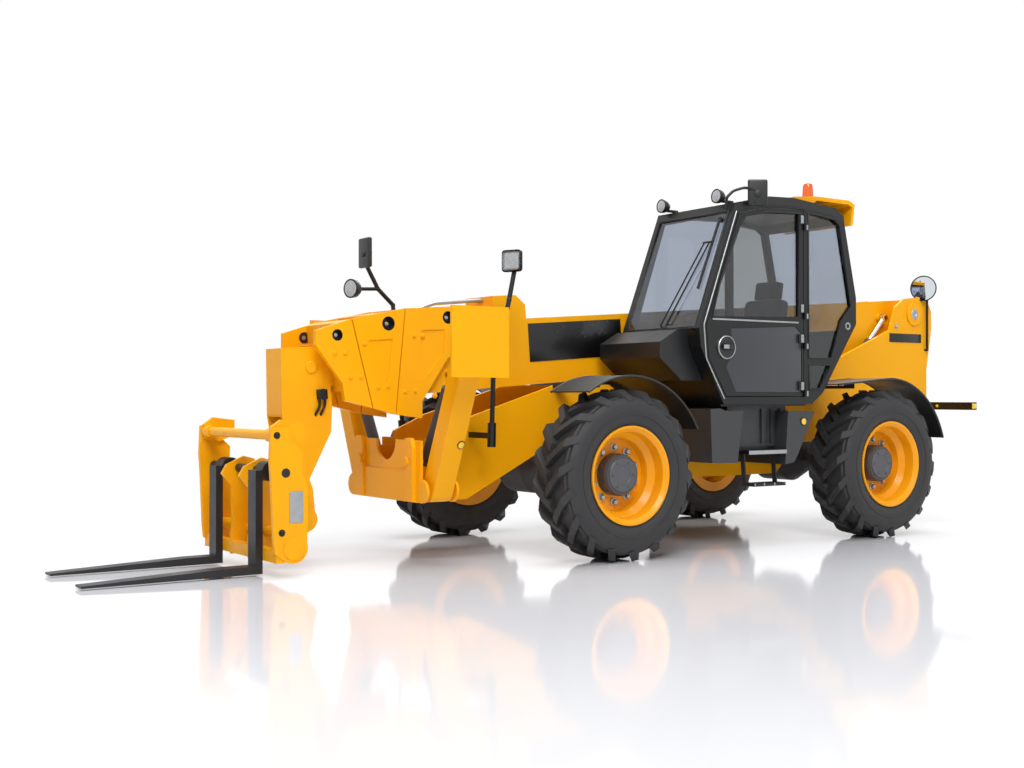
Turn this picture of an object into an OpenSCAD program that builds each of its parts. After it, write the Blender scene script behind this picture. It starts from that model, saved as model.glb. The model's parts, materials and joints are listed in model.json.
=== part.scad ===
// Rough-terrain telescopic handler, all sizes in millimetres.
// X points forward, Y to the driver's left, Z up. The origin is on the ground, under the middle of the whole length.

/* [Running gear] */
// distance between the two axles
wheelbase = 2750; // [2400:10:3200]
// distance between the middles of the left and right tyres
track = 2078; // [1900:2:2300]
// radius of a tyre over its lugs
tyre_r = 603; // [540:1:660]
// width of a tyre
tyre_w = 400; // [340:2:440]
// radius of the wheel rim's flange
rim_r = 348; // [310:1:370]
// distance from the middle of a tyre in to its kingpin
kingpin_in = 159; // [145:1:170]
// radius of the round axle tube
axle_tube_r = 92; // [80:1:105]

/* [Frame] */
// half of the width over the frame's side plates
frame_half = 360; // [345:1:400]
// thickness of the frame's side plates
frame_t = 30; // [20:1:40]
// rear end of the vehicle behind the rear axle
rear_overhang = 1660; // [1600:5:1800]
// middle of the stabiliser legs ahead of the front axle
stab_ahead = 1135; // [1100:5:1250]
// width of a stabiliser leg along the vehicle
stab_w = 160; // [130:2:180]
// height of the stabiliser leg's pivot
stab_z = 500; // [460:2:540]
// distance from the vehicle's middle to the stabiliser leg's pivot
stab_y = 500; // [470:2:530]

/* [Boom] */
// boom pivot behind the rear axle
pivot_behind = 1395; // [1350:5:1450]
// height of the boom pivot
pivot_z = 1920; // [1850:5:2000]
// slope of the lowered boom, down to the front
boom_slope = 4.2; // [3.6:0.1:4.6]
// distance from the frame's outer face in to the boom's side
boom_gap = 140; // [136:1:150]
// height of the outer boom section
boom_h = 500; // [470:1:520]
// wall thickness of the boom sections
boom_wall = 12; // [8:1:14]
// step from the boom's side out to the collars' outer faces
cheek_out = 60; // [52:1:64]
// front of the first boom collar ahead of the front axle
collar_ahead = 1246; // [1150:2:1350]

/* [Carriage] */
// half of the width over the carriage's side plates
carriage_half = 615; // [560:1:700]
// length of a fork blade
fork_len = 1105; // [1000:5:1250]
// width of a fork
fork_w = 120; // [80:2:150]
// distance from the middle to each fork
fork_y = 335; // [280:5:450]

/* [Cab] */
// outer face of the cab's left side
cab_left = 1150; // [1120:2:1170]
// gap between the boom's side and the cab
cab_gap = 55; // [45:1:80]
// height of the cab floor's underside
cab_floor = 1080; // [1070:1:1100]
// height of the roof's highest line
cab_top = 2698; // [2660:2:2740]
// thickness of the cab's side frames
cab_t = 45; // [35:1:50]
// thickness of the glass panes
glass_t = 6; // [4:1:8]
// radius of the mudguards' underside
guard_r = 690; // [685:1:720]

/* [Hidden] */
$fn = 64;
axle_z = tyre_r;
axle_x = wheelbase / 2;
wheel_y = track / 2;
kingpin_y = wheel_y - kingpin_in;
boom_half = frame_half - boom_gap;
collar_half = boom_half + cheek_out;
cab_right = boom_half + cab_gap;
run = 0.05;
seat_gap = 0.2;
slide_gap = 0.4;
pivot_xm = -axle_x - pivot_behind;
cs = cos(boom_slope);
sn = sin(boom_slope);
boom_len = (pivot_behind + wheelbase + collar_ahead) / cs;
foot_u = boom_len + 804;
foot_w = -1149;
tilt_x = pivot_xm + foot_u * cs + foot_w * sn;
tilt_z = pivot_z - foot_u * sn + foot_w * cs;
fork_face = 471;
tip_x = tilt_x + fork_face + fork_len;
rear_x = -axle_x - rear_overhang;
mid_x = -(tip_x + rear_x) / 2;
stab_x = axle_x + stab_ahead;
boom_up = 0.28 * boom_h;
step_in = 34;

// Everything inside is placed from the middle of the wheelbase.
module mid() translate([mid_x, 0, 0]) children();

// An outline drawn in X and Z becomes a plate between two Y faces.
module plate_y(y0, y1) translate([0, y1, 0]) rotate([90, 0, 0]) linear_extrude(y1 - y0) children();

// An outline drawn in Y and Z becomes a plate between two X faces.
module plate_x(x0, x1) translate([x0, 0, 0]) rotate([90, 0, 90]) linear_extrude(x1 - x0) children();

module block(x0, x1, y0, y1, z0, z1) translate([x0, y0, z0]) cube([x1 - x0, y1 - y0, z1 - z0]);

module bar_y(x, z, r, y0, y1) translate([x, y0, z]) rotate([-90, 0, 0]) cylinder(r = r, h = y1 - y0);

module bar_x(y, z, r, x0, x1) translate([x0, y, z]) rotate([0, 90, 0]) cylinder(r = r, h = x1 - x0);

// A straight round bar from one point to another.
module rod(p, q, r) {
  d = q - p;
  translate(p) rotate([0, acos(d[2] / norm(d)), atan2(d[1], d[0])]) cylinder(r = r, h = norm(d));
}

// A bent round bar through a list of points.
module pipe(pts, r) {
  for (i = [0 : len(pts) - 2]) rod(pts[i], pts[i + 1], r);
  for (i = [1 : len(pts) - 2]) translate(pts[i]) sphere(r = r + 2);
}

// The lowered boom's own frame: X along the boom from its pivot.
module boom_frame() mid() translate([pivot_xm, 0, pivot_z]) rotate([0, boom_slope, 0]) children();

module carriage_frame() mid() translate([tilt_x, 0, tilt_z]) children();

module left_right() {
  children();
  mirror([0, 1, 0]) children();
}

// Frame

module frame_outline() {
  difference() {
    union() {
      polygon([[stab_x - 130, 420], [axle_x + 805, 420], [axle_x + 245, 700], [axle_x + 125, 760],
        [axle_x - 175, 760], [axle_x - 425, 500], [-axle_x + 425, 500], [-axle_x + 175, 760],
        [-axle_x - 175, 760], [-axle_x - 475, 620], [pivot_xm + 320, 620], [pivot_xm - 185, 800],
        [pivot_xm - 185, 1400], [pivot_xm - 258, pivot_z - 140], [pivot_xm - 258, pivot_z + 30],
        [pivot_xm - 180, pivot_z + 170], [pivot_xm + 130, pivot_z + 140], [pivot_xm + 250, pivot_z + 60],
        [pivot_xm + 330, pivot_z - 156], [pivot_xm + 1000, pivot_z - 416], [-600, 1075], [600, 1075],
        [axle_x - 500, 1245], [axle_x, 1245], [axle_x + 735, 1020], [stab_x - 130, 900]]);
    }
    translate([pivot_xm, pivot_z]) circle(r = 60);
  }
}

lift_a = [pivot_xm + 550, pivot_z - 1050];

module chassis_frame() color("#e8a11c") mid() {
  difference() {
    union() {
      left_right() plate_y(frame_half - frame_t, frame_half) frame_outline();
      // belly, cross plates and rear plate
      block(-axle_x + 425, axle_x - 425, -frame_half + frame_t, frame_half - frame_t, 500, 520);
      block(axle_x + 330, axle_x + 350, -frame_half + frame_t, frame_half - frame_t, 700, 900);
      block(axle_x - 300, axle_x - 280, -frame_half + frame_t, frame_half - frame_t, 780, 1000);
      block(-axle_x + 330, -axle_x + 350, -frame_half + frame_t, frame_half - frame_t, 700, 900);
      block(pivot_xm - 185, pivot_xm - 165, -frame_half + frame_t, frame_half - frame_t, 800, 1400);
      // pin that carries the lift cylinder
      bar_y(lift_a[0], lift_a[1], 45, -frame_half, frame_half);
      // pin that carries the levelling cylinder
      bar_y(level_a[0], level_a[1], 18, level_y - 25, frame_half - 1);
      // pin bosses of the boom pivot
      left_right() bar_y(pivot_xm, pivot_z, 105, frame_half - 1, frame_half + 15);
    }
    bar_y(pivot_xm, pivot_z, 60 + run, -500, 500);
  }
}

module front_plate_outline() {
  difference() {
    union() {
      polygon([[-490, 470], [-440, 420], [440, 420], [490, 470], [490, 850], [-490, 850]]);
      translate([stab_y, stab_z]) circle(r = 80);
      translate([-stab_y, stab_z]) circle(r = 80);
    }
    translate([0, 840]) circle(r = 140);
    translate([-140, 840]) square([280, 100]);
  }
}

module front_frame() color("#e8a11c") mid() {
  plate_x(stab_x - 130, stab_x - 110) front_plate_outline();
  plate_x(stab_x + 110, stab_x + 130) front_plate_outline();
  block(stab_x - 115, stab_x + 115, -240, 240, 420, 450);
  left_right() block(stab_x - 115, stab_x + 115, 230, 250, 420, 800);
  left_right() bar_x(stab_y, stab_z, 30, stab_x - 125, stab_x + 125);
  left_right() bar_x(stab_y - 160, stab_z + 200, 20, stab_x - 125, stab_x + 125);
  // posts on the front plate, with the ends of the cylinder pins
  left_right() plate_x(stab_x + 129, stab_x + 158) polygon([[300, 425], [425, 425], [425, 800], [400, 866], [325, 866], [300, 800]]);
  left_right() bar_x(stab_y - 160, stab_z + 200, 34, stab_x + 129, stab_x + 172);
  block(stab_x + 129, stab_x + 142, -310, 310, 425, 640);
}

module counterweight() color("#2b2c2e") mid()
  block(pivot_xm - 165, pivot_xm + 340, -frame_half + frame_t, frame_half - frame_t, 805, 1330);

// Axles

axle_end = kingpin_y - 110;

module axle_beam() {
  rotate([90, 0, 0]) rotate_extrude() polygon([[0, -axle_end], [axle_tube_r, -axle_end],
    [axle_tube_r, -330], [190, -150], [190, 150], [axle_tube_r, 330], [axle_tube_r, axle_end], [0, axle_end]]);
  left_right() difference() {
    union() {
      block(-70, 70, axle_end - 30, axle_end + 20, -190, 190);
      for (s = [-1, 1]) block(-60, 60, axle_end - 30, kingpin_y + 50, s * 170 - 20, s * 170 + 20);
    }
    translate([0, kingpin_y, -300]) cylinder(r = 28 + run, h = 600);
  }
  left_right() block(-110, 110, frame_half - 60, frame_half, 0, 760 - axle_z);
}

module front_axle() color("#3a3b3d") mid() translate([axle_x, 0, axle_z]) {
  axle_beam();
  rotate([0, -90, 0]) cylinder(r = 80, h = 270);
}

module rear_axle() color("#3a3b3d") mid() translate([-axle_x, 0, axle_z]) {
  axle_beam();
  rotate([0, 90, 0]) cylinder(r = 80, h = 270);
}

module driveline() color("#3a3b3d") mid() {
  block(-450, 300, -230, 230, 520, 860);
  bar_x(0, axle_z, 38, 299, axle_x - 270);
  bar_x(0, axle_z, 38, -axle_x + 270, -449);
}

// Steering knuckle: its middle is where the kingpin crosses the wheel's axis.
module knuckle() {
  cylinder(r = 78, h = 296, center = true);
  cylinder(r = 28, h = 380, center = true);
  rotate([-90, 0, 0]) cylinder(r = 90, h = 95);
  rotate([-90, 0, 0]) cylinder(r = 60, h = 225);
}

module wheel_at(fx, s) mid() translate([fx * axle_x, 0, axle_z]) scale_side(s) children();

module scale_side(s) if (s < 0) mirror([0, 1, 0]) children(); else children();

module knuckle_fl() color("#3a3b3d") wheel_at(1, 1) translate([0, kingpin_y, 0]) knuckle();
module knuckle_fr() color("#3a3b3d") wheel_at(1, -1) translate([0, kingpin_y, 0]) knuckle();
module knuckle_rl() color("#3a3b3d") wheel_at(-1, 1) translate([0, kingpin_y, 0]) knuckle();
module knuckle_rr() color("#3a3b3d") wheel_at(-1, -1) translate([0, kingpin_y, 0]) knuckle();

// Wheels: drawn about the wheel's axis, Y measured from the tyre's middle, outward positive.
rim_half = tyre_w / 2 - 6;
bead_r = rim_r - 26;

module rim() rotate([-90, 0, 0]) rotate_extrude() polygon([[150 + seat_gap, -25], [255, -25], [262, -rim_half],
  [rim_r, -rim_half], [rim_r, -rim_half + 12], [bead_r, -rim_half + 22], [bead_r, -60], [275, -40],
  [275, 60], [bead_r, 90], [bead_r, rim_half - 22], [rim_r, rim_half - 12], [rim_r, rim_half],
  [rim_r - 14, rim_half], [bead_r - 14, rim_half - 24], [300, 90], [262, 50], [255, -8], [150 + seat_gap, -8]]);

module hub() difference() {
  rotate([-90, 0, 0]) rotate_extrude() polygon([[0, kingpin_y + 95 + slide_gap - wheel_y], [120, kingpin_y + 95 + slide_gap - wheel_y],
    [120, -25 - seat_gap], [150, -25 - seat_gap], [150, 70], [138, 92], [0, 92]]);
  rotate([-90, 0, 0]) translate([0, 0, -300]) cylinder(r = 60 + run, h = 300 + kingpin_y + 226 - wheel_y);
}

// Tyre: a carcass of revolution with slanted lugs in two rows, half a pitch apart.
lug_count = 18;
lug_depth = 46;
lug_t = 62;
lug_slant = 42;
tread_r = tyre_r - lug_depth;

module tyre_outline(r) {
  h = tyre_w / 2;
  polygon([[bead_r + seat_gap, -h + 30], [rim_r + 60, -h], [r - 80, -h], [r, -h + 50],
    [r, h - 50], [r - 80, h], [rim_r + 60, h], [bead_r + seat_gap, h - 30]]);
}

// One lug, drawn flat from the tread's middle to a shoulder, then raised along the tyre's radius.
module lug() rotate([0, 90, 0]) translate([0, 0, tread_r - 60]) linear_extrude(lug_depth + 70) {
  lag = (tyre_w / 2 + 15) * tan(lug_slant);
  polygon([[8, -lug_t / 2], [8, lug_t / 2], [-tyre_w / 2 - 7, lug_t / 2 - lag], [-tyre_w / 2 - 7, -lug_t / 2 - lag]]);
}

module tyre() rotate([-90, 0, 0]) {
  rotate_extrude() tyre_outline(tread_r);
  intersection() {
    rotate_extrude() tyre_outline(tyre_r);
    for (i = [0 : lug_count - 1]) {
      rotate([0, 0, 90 + i * 360 / lug_count]) lug();
      mirror([0, 0, 1]) rotate([0, 0, 90 + (i + 0.5) * 360 / lug_count]) lug();
    }
  }
}

module wheel_metal() {
  rim();
  hub();
}

module rim_fl() color("#e8921c") wheel_at(1, 1) translate([0, wheel_y, 0]) wheel_metal();
module rim_fr() color("#e8921c") wheel_at(1, -1) translate([0, wheel_y, 0]) wheel_metal();
module rim_rl() color("#e8921c") wheel_at(-1, 1) translate([0, wheel_y, 0]) wheel_metal();
module rim_rr() color("#e8921c") wheel_at(-1, -1) translate([0, wheel_y, 0]) wheel_metal();
module tyre_fl() color("#222324") wheel_at(1, 1) translate([0, wheel_y, 0]) tyre();
module tyre_fr() color("#222324") wheel_at(1, -1) translate([0, wheel_y, 0]) tyre();
module tyre_rl() color("#222324") wheel_at(-1, 1) translate([0, wheel_y, 0]) tyre();
module tyre_rr() color("#222324") wheel_at(-1, -1) translate([0, wheel_y, 0]) tyre();

// Mudguards: arched shells from angle a0 to a1 with a flat run-out ahead, on a short arm to the frame.
guard_in = wheel_y - 239;
guard_out = wheel_y + 193;

module mudguard(a0, a1, run_out) {
  plate_y(guard_in, guard_out) {
    intersection() {
      difference() {
        circle(r = guard_r + 10, $fn = 180);
        circle(r = guard_r, $fn = 180);
      }
      polygon([[0, 0], 2000 * [cos(a0), sin(a0)], 2000 * [cos((a0 + a1) / 2), sin((a0 + a1) / 2)], 2000 * [cos(a1), sin(a1)]]);
    }
    if (run_out > 0) rotate(a0) translate([guard_r + 1, -run_out]) square([8, run_out + 4]);
  }
  block(-60, 60, guard_in - 10, guard_in, 617, guard_r + 8);
  block(-40, 40, frame_half, guard_in - 5, 617, 642);
}

module mudguards() color("#2b2c2e") mid() left_right() {
  translate([axle_x, 0, axle_z]) mudguard(57, 153, 0);
  translate([-axle_x, 0, axle_z]) mudguard(85.3, 163, 578);
}

// Engine side

tray_back = -axle_x + guard_r + 65;
tray_front = axle_x - guard_r - 125;

module engine_block() color("#55575a") mid()
  block(tray_back + 120, tray_front - 160, -880, -frame_half, 700, 1260);

hood_y = -frame_half - 25;
hood_z = 1448;

module engine_tray() color("#2b2c2e") mid() {
  block(tray_back, tray_front, -1140.7, -frame_half, 620, 650);
  for (x = [tray_back, tray_front - 20]) block(x, x + 20, -1136, -frame_half, 640, 1430);
  for (x = [tray_back, tray_front - 20]) block(x, x + 20, hood_y - 22, hood_y + 22, 1420, hood_z + 18);
  bar_x(hood_y, hood_z, 8, tray_back + 10, tray_back + 60);
  bar_x(hood_y, hood_z, 8, tray_front - 60, tray_front - 10);
}

module engine_bonnet() color("#e8a11c") mid() difference() {
  union() {
    block(tray_back + 24, tray_front - 24, -1165, hood_y, 1436, 1460);
    block(tray_back + 24, tray_front - 24, -1165, -1141, 640, 1450);
    bar_x(hood_y, hood_z, 16, tray_back + 24, tray_front - 24);
  }
  bar_x(hood_y, hood_z, 8 + run, tray_back - 80, tray_back + 65);
  bar_x(hood_y, hood_z, 8 + run, tray_front - 65, tray_front + 140);
  // louvre slots in two panels
  for (x = [tray_back + 130, tray_front - 490], i = [0 : 7]) block(x, x + 360, -1180, -1130, 880 + i * 50, 902 + i * 50);
}

// Boxes and steps under the cab

box_back = -axle_x + guard_r + 92;
box_front = axle_x - guard_r - 162;

module side_boxes() color("#3a3b3d") mid() {
  plate_y(frame_half, 1120) polygon([[box_front - 16, 660], [box_front, 1061], [box_front - 99, 1065], [box_front - 148, 1048],
    [184, 1047], [247, 652]]);
  plate_y(frame_half, 1120) polygon([[-295, 1044], [box_back, 1039], [-264 + 0.438 * (box_back + 264), 709],
    [-264 + 0.292 * (box_back + 264), 642], [-264, 628]]);
  difference() {
    block(-391, 240, frame_half, 1000, 768, cab_floor - seat_gap);
    for (x = [-330, -230, -130]) block(x, x + 60, 985, 1010, 790, 1060);
  }
}

module steps() color("#9a9c9e") mid() {
  difference() {
    block(-258, 150, 990, 1140, 716, 742);
    for (i = [0 : 6]) block(-244 + i * 56, -202 + i * 56, 1010, 1120, 700, 750);
  }
  difference() {
    block(-258, 82, 1000, 1130, 468, 492);
    for (i = [0 : 5]) block(-244 + i * 54, -204 + i * 54, 1020, 1112, 450, 500);
  }
  for (x = [-258, 70]) plate_y(1000, 1040) polygon([[x, 480], [x + 12, 480], [x + 36, 730], [x + 24, 730]]);
  // bracket that carries the steps from the boxes
  block(-252, 150, 940, 1000, 740, 768 - seat_gap);
  block(-252, 150, 985, 1012, 714, 767);
}

// Cab

cab_in_r = cab_right + cab_t;
cab_in_l = cab_left - cab_t;
seat_y = (cab_left + cab_right) / 2;

// The bent toe board's front face, and the sloped rear wall's outer face.
knee_z = 1521;
function toe_x(z) = 646 + (z < knee_z ? (z - knee_z) * 0.544 : (z - knee_z) * 0.14);
function back_x(z) = -657 - (z - 1184) * 0.707;

module cab_base() color("#2b2c2e") mid()
  plate_y(cab_in_r, cab_in_l) polygon([[toe_x(1113), 1113], [toe_x(knee_z), knee_z], [toe_x(1606), 1606], [toe_x(1606) - 30, 1606],
    [toe_x(knee_z) - 32, knee_z], [400, cab_floor + 40], [-520, cab_floor + 40], [back_x(1210) + 32, 1210],
    [back_x(1675) + 25, 1690], [back_x(1675), 1675], [back_x(1190), 1190], [-529, 1104], [-500, cab_floor], [400, cab_floor]]);

module roof_line(d) polygon([[296, cab_top - 88], [-60, cab_top - 12], [-330, cab_top], [-812, cab_top - 43],
  [-905, cab_top - 104], [-912, cab_top - 104 - d], [-790, cab_top - 43 - d], [-330, cab_top - d], [-60, cab_top - 12 - d],
  [318, cab_top - 88 - d]]);

// Opening of the door, and the door itself with a gap g inside it.
module door_hole(g) polygon([[395 - g, 1150 + g], [572 - g, 1441], [595 - g, 1680], [262 - g, cab_top - 158 - g],
  [-60, cab_top - 92 - g], [-440 + g, cab_top - 84 - g], [-440 + g, 1150 + g]]);

module door_window() polygon([[535, 1742], [460, 1985], [250, 2440], [182, cab_top - 176], [-60, cab_top - 130],
  [-388, cab_top - 118], [-388, 1770]]);

module quarter_hole() {
  polygon([[-492, 1454], [-492, cab_top - 104], [-790, cab_top - 131], [-850, cab_top - 170], [-992, 1880], [-885, 1762], [-764, 1454]]);
  polygon([[-500, 1208], [-500, 1402], [-743, 1402], [-640, 1216]]);
}

module right_hole() polygon([[470, 1330], [560, 1680], [255, cab_top - 172], [-60, cab_top - 105], [-430, cab_top - 95],
  [-430, 1330]]);

module cab_side() polygon([[toe_x(1113) - 8, 1095], [toe_x(knee_z), knee_z], [toe_x(1660), 1660], [318, cab_top - 148],
  [-60, cab_top - 72], [-330, cab_top - 60], [-790, cab_top - 103], [-912, cab_top - 164], [-1048, 1947], [-1048, 1737],
  [back_x(1184), 1184], [-529, 1095]]);

module cab_frame() color("#2b2c2e") mid() {
  plate_y(cab_in_l, cab_left) difference() {
    cab_side();
    door_hole(0);
    quarter_hole();
  }
  // hinge pins of the door
  for (z = hinge_zs) {
    translate([hinge_x, hinge_y, z - 46]) cylinder(r = 11, h = 45.5);
    translate([hinge_x, hinge_y, z - 46]) cylinder(r = 6, h = 110);
    block(hinge_x - 34, hinge_x - 4, cab_left - 1, cab_left + 10, z - 46, z - 0.5);
  }
  plate_y(cab_right, cab_in_r) difference() {
    cab_side();
    right_hole();
    quarter_hole();
  }
}

module cab_roof() color("#2b2c2e") mid() plate_y(cab_right, cab_left) roof_line(60);

visor_z = cab_top + 46;

module roof_visor() color("#e8a11c") mid()
  plate_y(cab_right + 90, cab_left - 60) polygon([[-330, cab_top + 0.3], [-340, cab_top + 10], [-402, cab_top + 24],
    [-640, visor_z], [-1040, visor_z], [-1105, cab_top + 16], [-1078, cab_top - 155], [-1052, cab_top - 155], [-1075, cab_top - 4],
    [-1030, cab_top + 14], [-660, cab_top + 14], [-600, cab_top - 23.6]]);

module cab_glass() color("#7fa3b5") mid() {
  // windscreen and rear window
  plate_y(cab_in_r, cab_in_l) polygon([[toe_x(1606), 1606], [toe_x(1660) - 2, 1660], [315, cab_top - 150],
    [306, cab_top - 150], [toe_x(1660) - 12, 1660], [toe_x(1606) - 9, 1606]]);
  plate_y(cab_in_r, cab_in_l) polygon([[back_x(1675), 1675], [-1044, 1738], [-1044, 1947], [-914, cab_top - 166],
    [-906, cab_top - 166], [-1036, 1947], [-1036, 1740], [back_x(1675) + 8, 1679.8]]);
  // side windows
  plate_y(cab_left - 26, cab_left - 26 + glass_t) quarter_hole();
  plate_y(cab_right + 20, cab_right + 20 + glass_t) {
    right_hole();
    quarter_hole();
  }
}

module scuttle() color("#2b2c2e") mid()
  plate_y(cab_in_r, cab_left - 130) polygon([[toe_x(1272), 1272], [toe_x(knee_z), knee_z], [toe_x(1606), 1606], [toe_x(1650), 1650],
    [760, 1650], [930, 1555], [930, 1440], [720, 1272]]);

module seat() color("#303133") mid() {
  block(-420, -80, seat_y - 170, seat_y + 170, cab_floor + 40, 1400);
  block(-480, 20, seat_y - 230, seat_y + 230, 1390, 1510);
  plate_y(seat_y - 230, seat_y + 230) polygon([[-480, 1500], [-360, 1505], [-480, 2080], [-560, 2080]]);
}

module steering_column() color("#303133") mid() {
  block(270, 390, seat_y - 90, seat_y + 90, cab_floor + 40, 1480);
  rod([330, seat_y, 1440], [190, seat_y, 1720], 30);
  translate([190, seat_y, 1720]) rotate([0, -26.6, 0]) {
    rotate_extrude() translate([175, 0]) circle(r = 16);
    for (a = [40, 160, 280]) rotate([0, 0, a]) block(0, 172, -13, 13, -5, 5);
    translate([0, 0, -12]) cylinder(r = 46, h = 24);
  }
}

hinge_x = -446;
hinge_y = cab_left + 12;
hinge_zs = [1200, 1570, 1805, 2500];

module door() color("#3a3b3d") mid() difference() {
  union() {
    plate_y(cab_left - 40, cab_left) door_hole(6);
    for (z = hinge_zs) {
      translate([hinge_x, hinge_y, z]) cylinder(r = 11, h = 70);
      block(hinge_x + 5, hinge_x + 70, cab_left + 1, cab_left + 10, z, z + 70);
      block(hinge_x + 20, hinge_x + 70, cab_left - 12, cab_left + 2, z, z + 70);
    }
  }
  plate_y(cab_left - 100, cab_left + 100) door_window();
  plate_y(cab_left - 6, cab_left + 1) polygon([[-415, 1184], [292, 1184], [396, 1375], [340, 1473], [340, 1667], [-344, 1700],
    [-415, 1645]]);
  for (z = hinge_zs) translate([hinge_x, hinge_y, z - 10]) cylinder(r = 6 + run, h = 100);
}

module door_glass() color("#7fa3b5") mid() plate_y(cab_left - 26, cab_left - 26 + glass_t) door_window();

// Lamps, mirrors and beacon

module light_bar() color("#2b2c2e") mid() block(rear_x, pivot_xm - 185, -850, 850, 1030, 1100);

left_post = axle_x + 765;

module lamp_posts() color("#2b2c2e") mid() {
  // front posts, clamped to brackets on the frame
  block(left_post - 25, left_post + 25, frame_half, 640, 860, 900);
  rod([left_post, 620, 800], [left_post - 4, 620, 970], 30);
  pipe([[left_post, 620, 840], [left_post - 15, 620, 1290], [axle_x + 615, 620, 1840], [axle_x + 565, 620, 2066]], 17);
  block(left_post - 25, left_post + 25, -640, -frame_half, 860, 900);
  rod([left_post, -620, 800], [left_post + 14, -620, 970], 30);
  pipe([[left_post, -620, 840], [axle_x + 858, -620, 1865], [axle_x + 990, -620, 1983], [axle_x + 1090, -620, 2160]], 17);
  pipe([[axle_x + 990, -620, 1983], [axle_x + 1165, -620, 1975]], 14);
  // left cab mirror's arm
  rod([150, cab_left, 2612], [150, cab_left + 62, 2612], 11);
  // rear mirror's post
  pipe([[pivot_xm - 166, frame_half, pivot_z - 330], [pivot_xm - 166, frame_half + 25, pivot_z - 330],
    [pivot_xm - 166, frame_half + 25, pivot_z + 170], [pivot_xm - 130, frame_half + 25, pivot_z + 240]], 11);
}

module work_lamps() color("#2b2c2e") mid() {
  difference() {
    block(axle_x + 520, axle_x + 610, 560, 680, 2060, 2160);
    rod([axle_x + 615, 620, 1840], [axle_x + 565, 620, 2066], 17 + seat_gap);
  }
  difference() {
    block(axle_x + 1160, axle_x + 1235, -680, -560, 1925, 2025);
    rod([axle_x + 990, -620, 1983], [axle_x + 1165, -620, 1975], 14 + seat_gap);
  }
  for (y = [370, 998]) {
    bar_x(y, cab_top - 40, 44, 290, 360);
    plate_y(y - 15, y + 15) polygon([[290, cab_top - 86.2], [190, cab_top - 65],
      [190, cab_top - 45], [318, cab_top - 45], [318, cab_top - 80]]);
  }
}

module mirrors() color("#2b2c2e") mid() {
  // left cab mirror, right post mirror and round rear mirror
  difference() {
    translate([125, cab_left + 62, 2690]) rotate([0, 0, -35]) cube([150, 30, 200], center = true);
    rod([150, cab_left, 2612], [150, cab_left + 62, 2612], 11 + seat_gap);
  }
  difference() {
    block(axle_x + 1085, axle_x + 1120, -700, -540, 2150, 2360);
    rod([axle_x + 990, -620, 1983], [axle_x + 1090, -620, 2160], 17 + seat_gap);
  }
  difference() {
    translate([pivot_xm - 135, frame_half + 25, pivot_z + 250]) rotate([0, 90, 0]) cylinder(r = 65, h = 25);
    rod([pivot_xm - 166, frame_half + 25, pivot_z + 170], [pivot_xm - 130, frame_half + 25, pivot_z + 240], 11 + seat_gap);
  }
}

module beacon() color("#e07a1a") mid() translate([-870, 800, visor_z]) {
  cylinder(r = 52, h = 42);
  cylinder(r = 40, h = 150);
  translate([0, 0, 149]) cylinder(r1 = 39, r2 = 26, h = 22);
}

// Stabilisers: drawn on the left, Y and Z measured from the leg's pivot.
leg_end = [430, 1000];
ram_eye = [190, 800];

module leg_at() mid() translate([stab_x, stab_y, stab_z]) children();

module stab_leg() leg_at() {
  difference() {
    union() {
      plate_x(-stab_w / 2, stab_w / 2) {
        circle(r = 75);
        polygon([[-70, 28], [70, -28], [leg_end[0] + 60, leg_end[1] - 28], [leg_end[0] - 60, leg_end[1] + 28]]);
        translate(leg_end) circle(r = 65);
      }
      for (s = [-1, 1]) plate_x(s * 40 - 10, s * 40 + 10) {
        translate(ram_eye) circle(r = 40);
        polygon([ram_eye + [-38, 12], ram_eye + [-15, -40], ram_eye + [140, -30], ram_eye + [140, 90]]);
      }
      bar_x(leg_end[0], leg_end[1], 22, -stab_w / 2 - 22, stab_w / 2 + 22);
    }
    bar_x(0, 0, 30 + run, -200, 200);
    bar_x(ram_eye[0], ram_eye[1], 20, -200, 200);
  }
}

module stab_foot() leg_at() translate([0, leg_end[0], leg_end[1]]) {
  difference() {
    union() {
      block(-225, 225, 100, 120, -220, 250);
      for (s = [-1, 1]) plate_x(s * (stab_w / 2 + 12) - 10, s * (stab_w / 2 + 12) + 10) {
        circle(r = 50);
        polygon([[-20, -46], [105, -110], [105, 110], [-20, 46]]);
      }
    }
    bar_x(0, 0, 22 + run, -300, 300);
  }
}

ram_a = [-160, 200];
ram_v = ram_eye - ram_a;
ram_len = norm(ram_v);
ram_el = atan2(ram_v[1], ram_v[0]);

module ram_at() leg_at() translate([0, ram_a[0], ram_a[1]]) rotate([ram_el, 0, 0]) children();

module stab_barrel() ram_at() difference() {
  union() {
    bar_x(0, 0, 38, -28, 28);
    translate([0, 30, 0]) rotate([-90, 0, 0]) cylinder(r = 42, h = ram_len - 130);
  }
  bar_x(0, 0, 20 + run, -60, 60);
  translate([0, 60, 0]) rotate([-90, 0, 0]) cylinder(r = 26 + run, h = 2000);
}

module stab_rod() ram_at() {
  difference() {
    union() {
      translate([0, 90, 0]) rotate([-90, 0, 0]) cylinder(r = 26, h = ram_len - 120);
      bar_x(ram_len, 0, 36, -28, 28);
    }
    bar_x(ram_len, 0, 20, -60, 60);
  }
}

module stab_leg_left() color("#e8a11c") stab_leg();
module stab_leg_right() color("#e8a11c") mirror([0, 1, 0]) stab_leg();
module stab_foot_left() color("#e8a11c") stab_foot();
module stab_foot_right() color("#e8a11c") mirror([0, 1, 0]) stab_foot();
module stab_barrel_left() color("#3a3b3d") stab_barrel();
module stab_barrel_right() color("#3a3b3d") mirror([0, 1, 0]) stab_barrel();
module stab_rod_left() color("#c8cacc") stab_rod();
module stab_rod_right() color("#c8cacc") mirror([0, 1, 0]) stab_rod();

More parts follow.
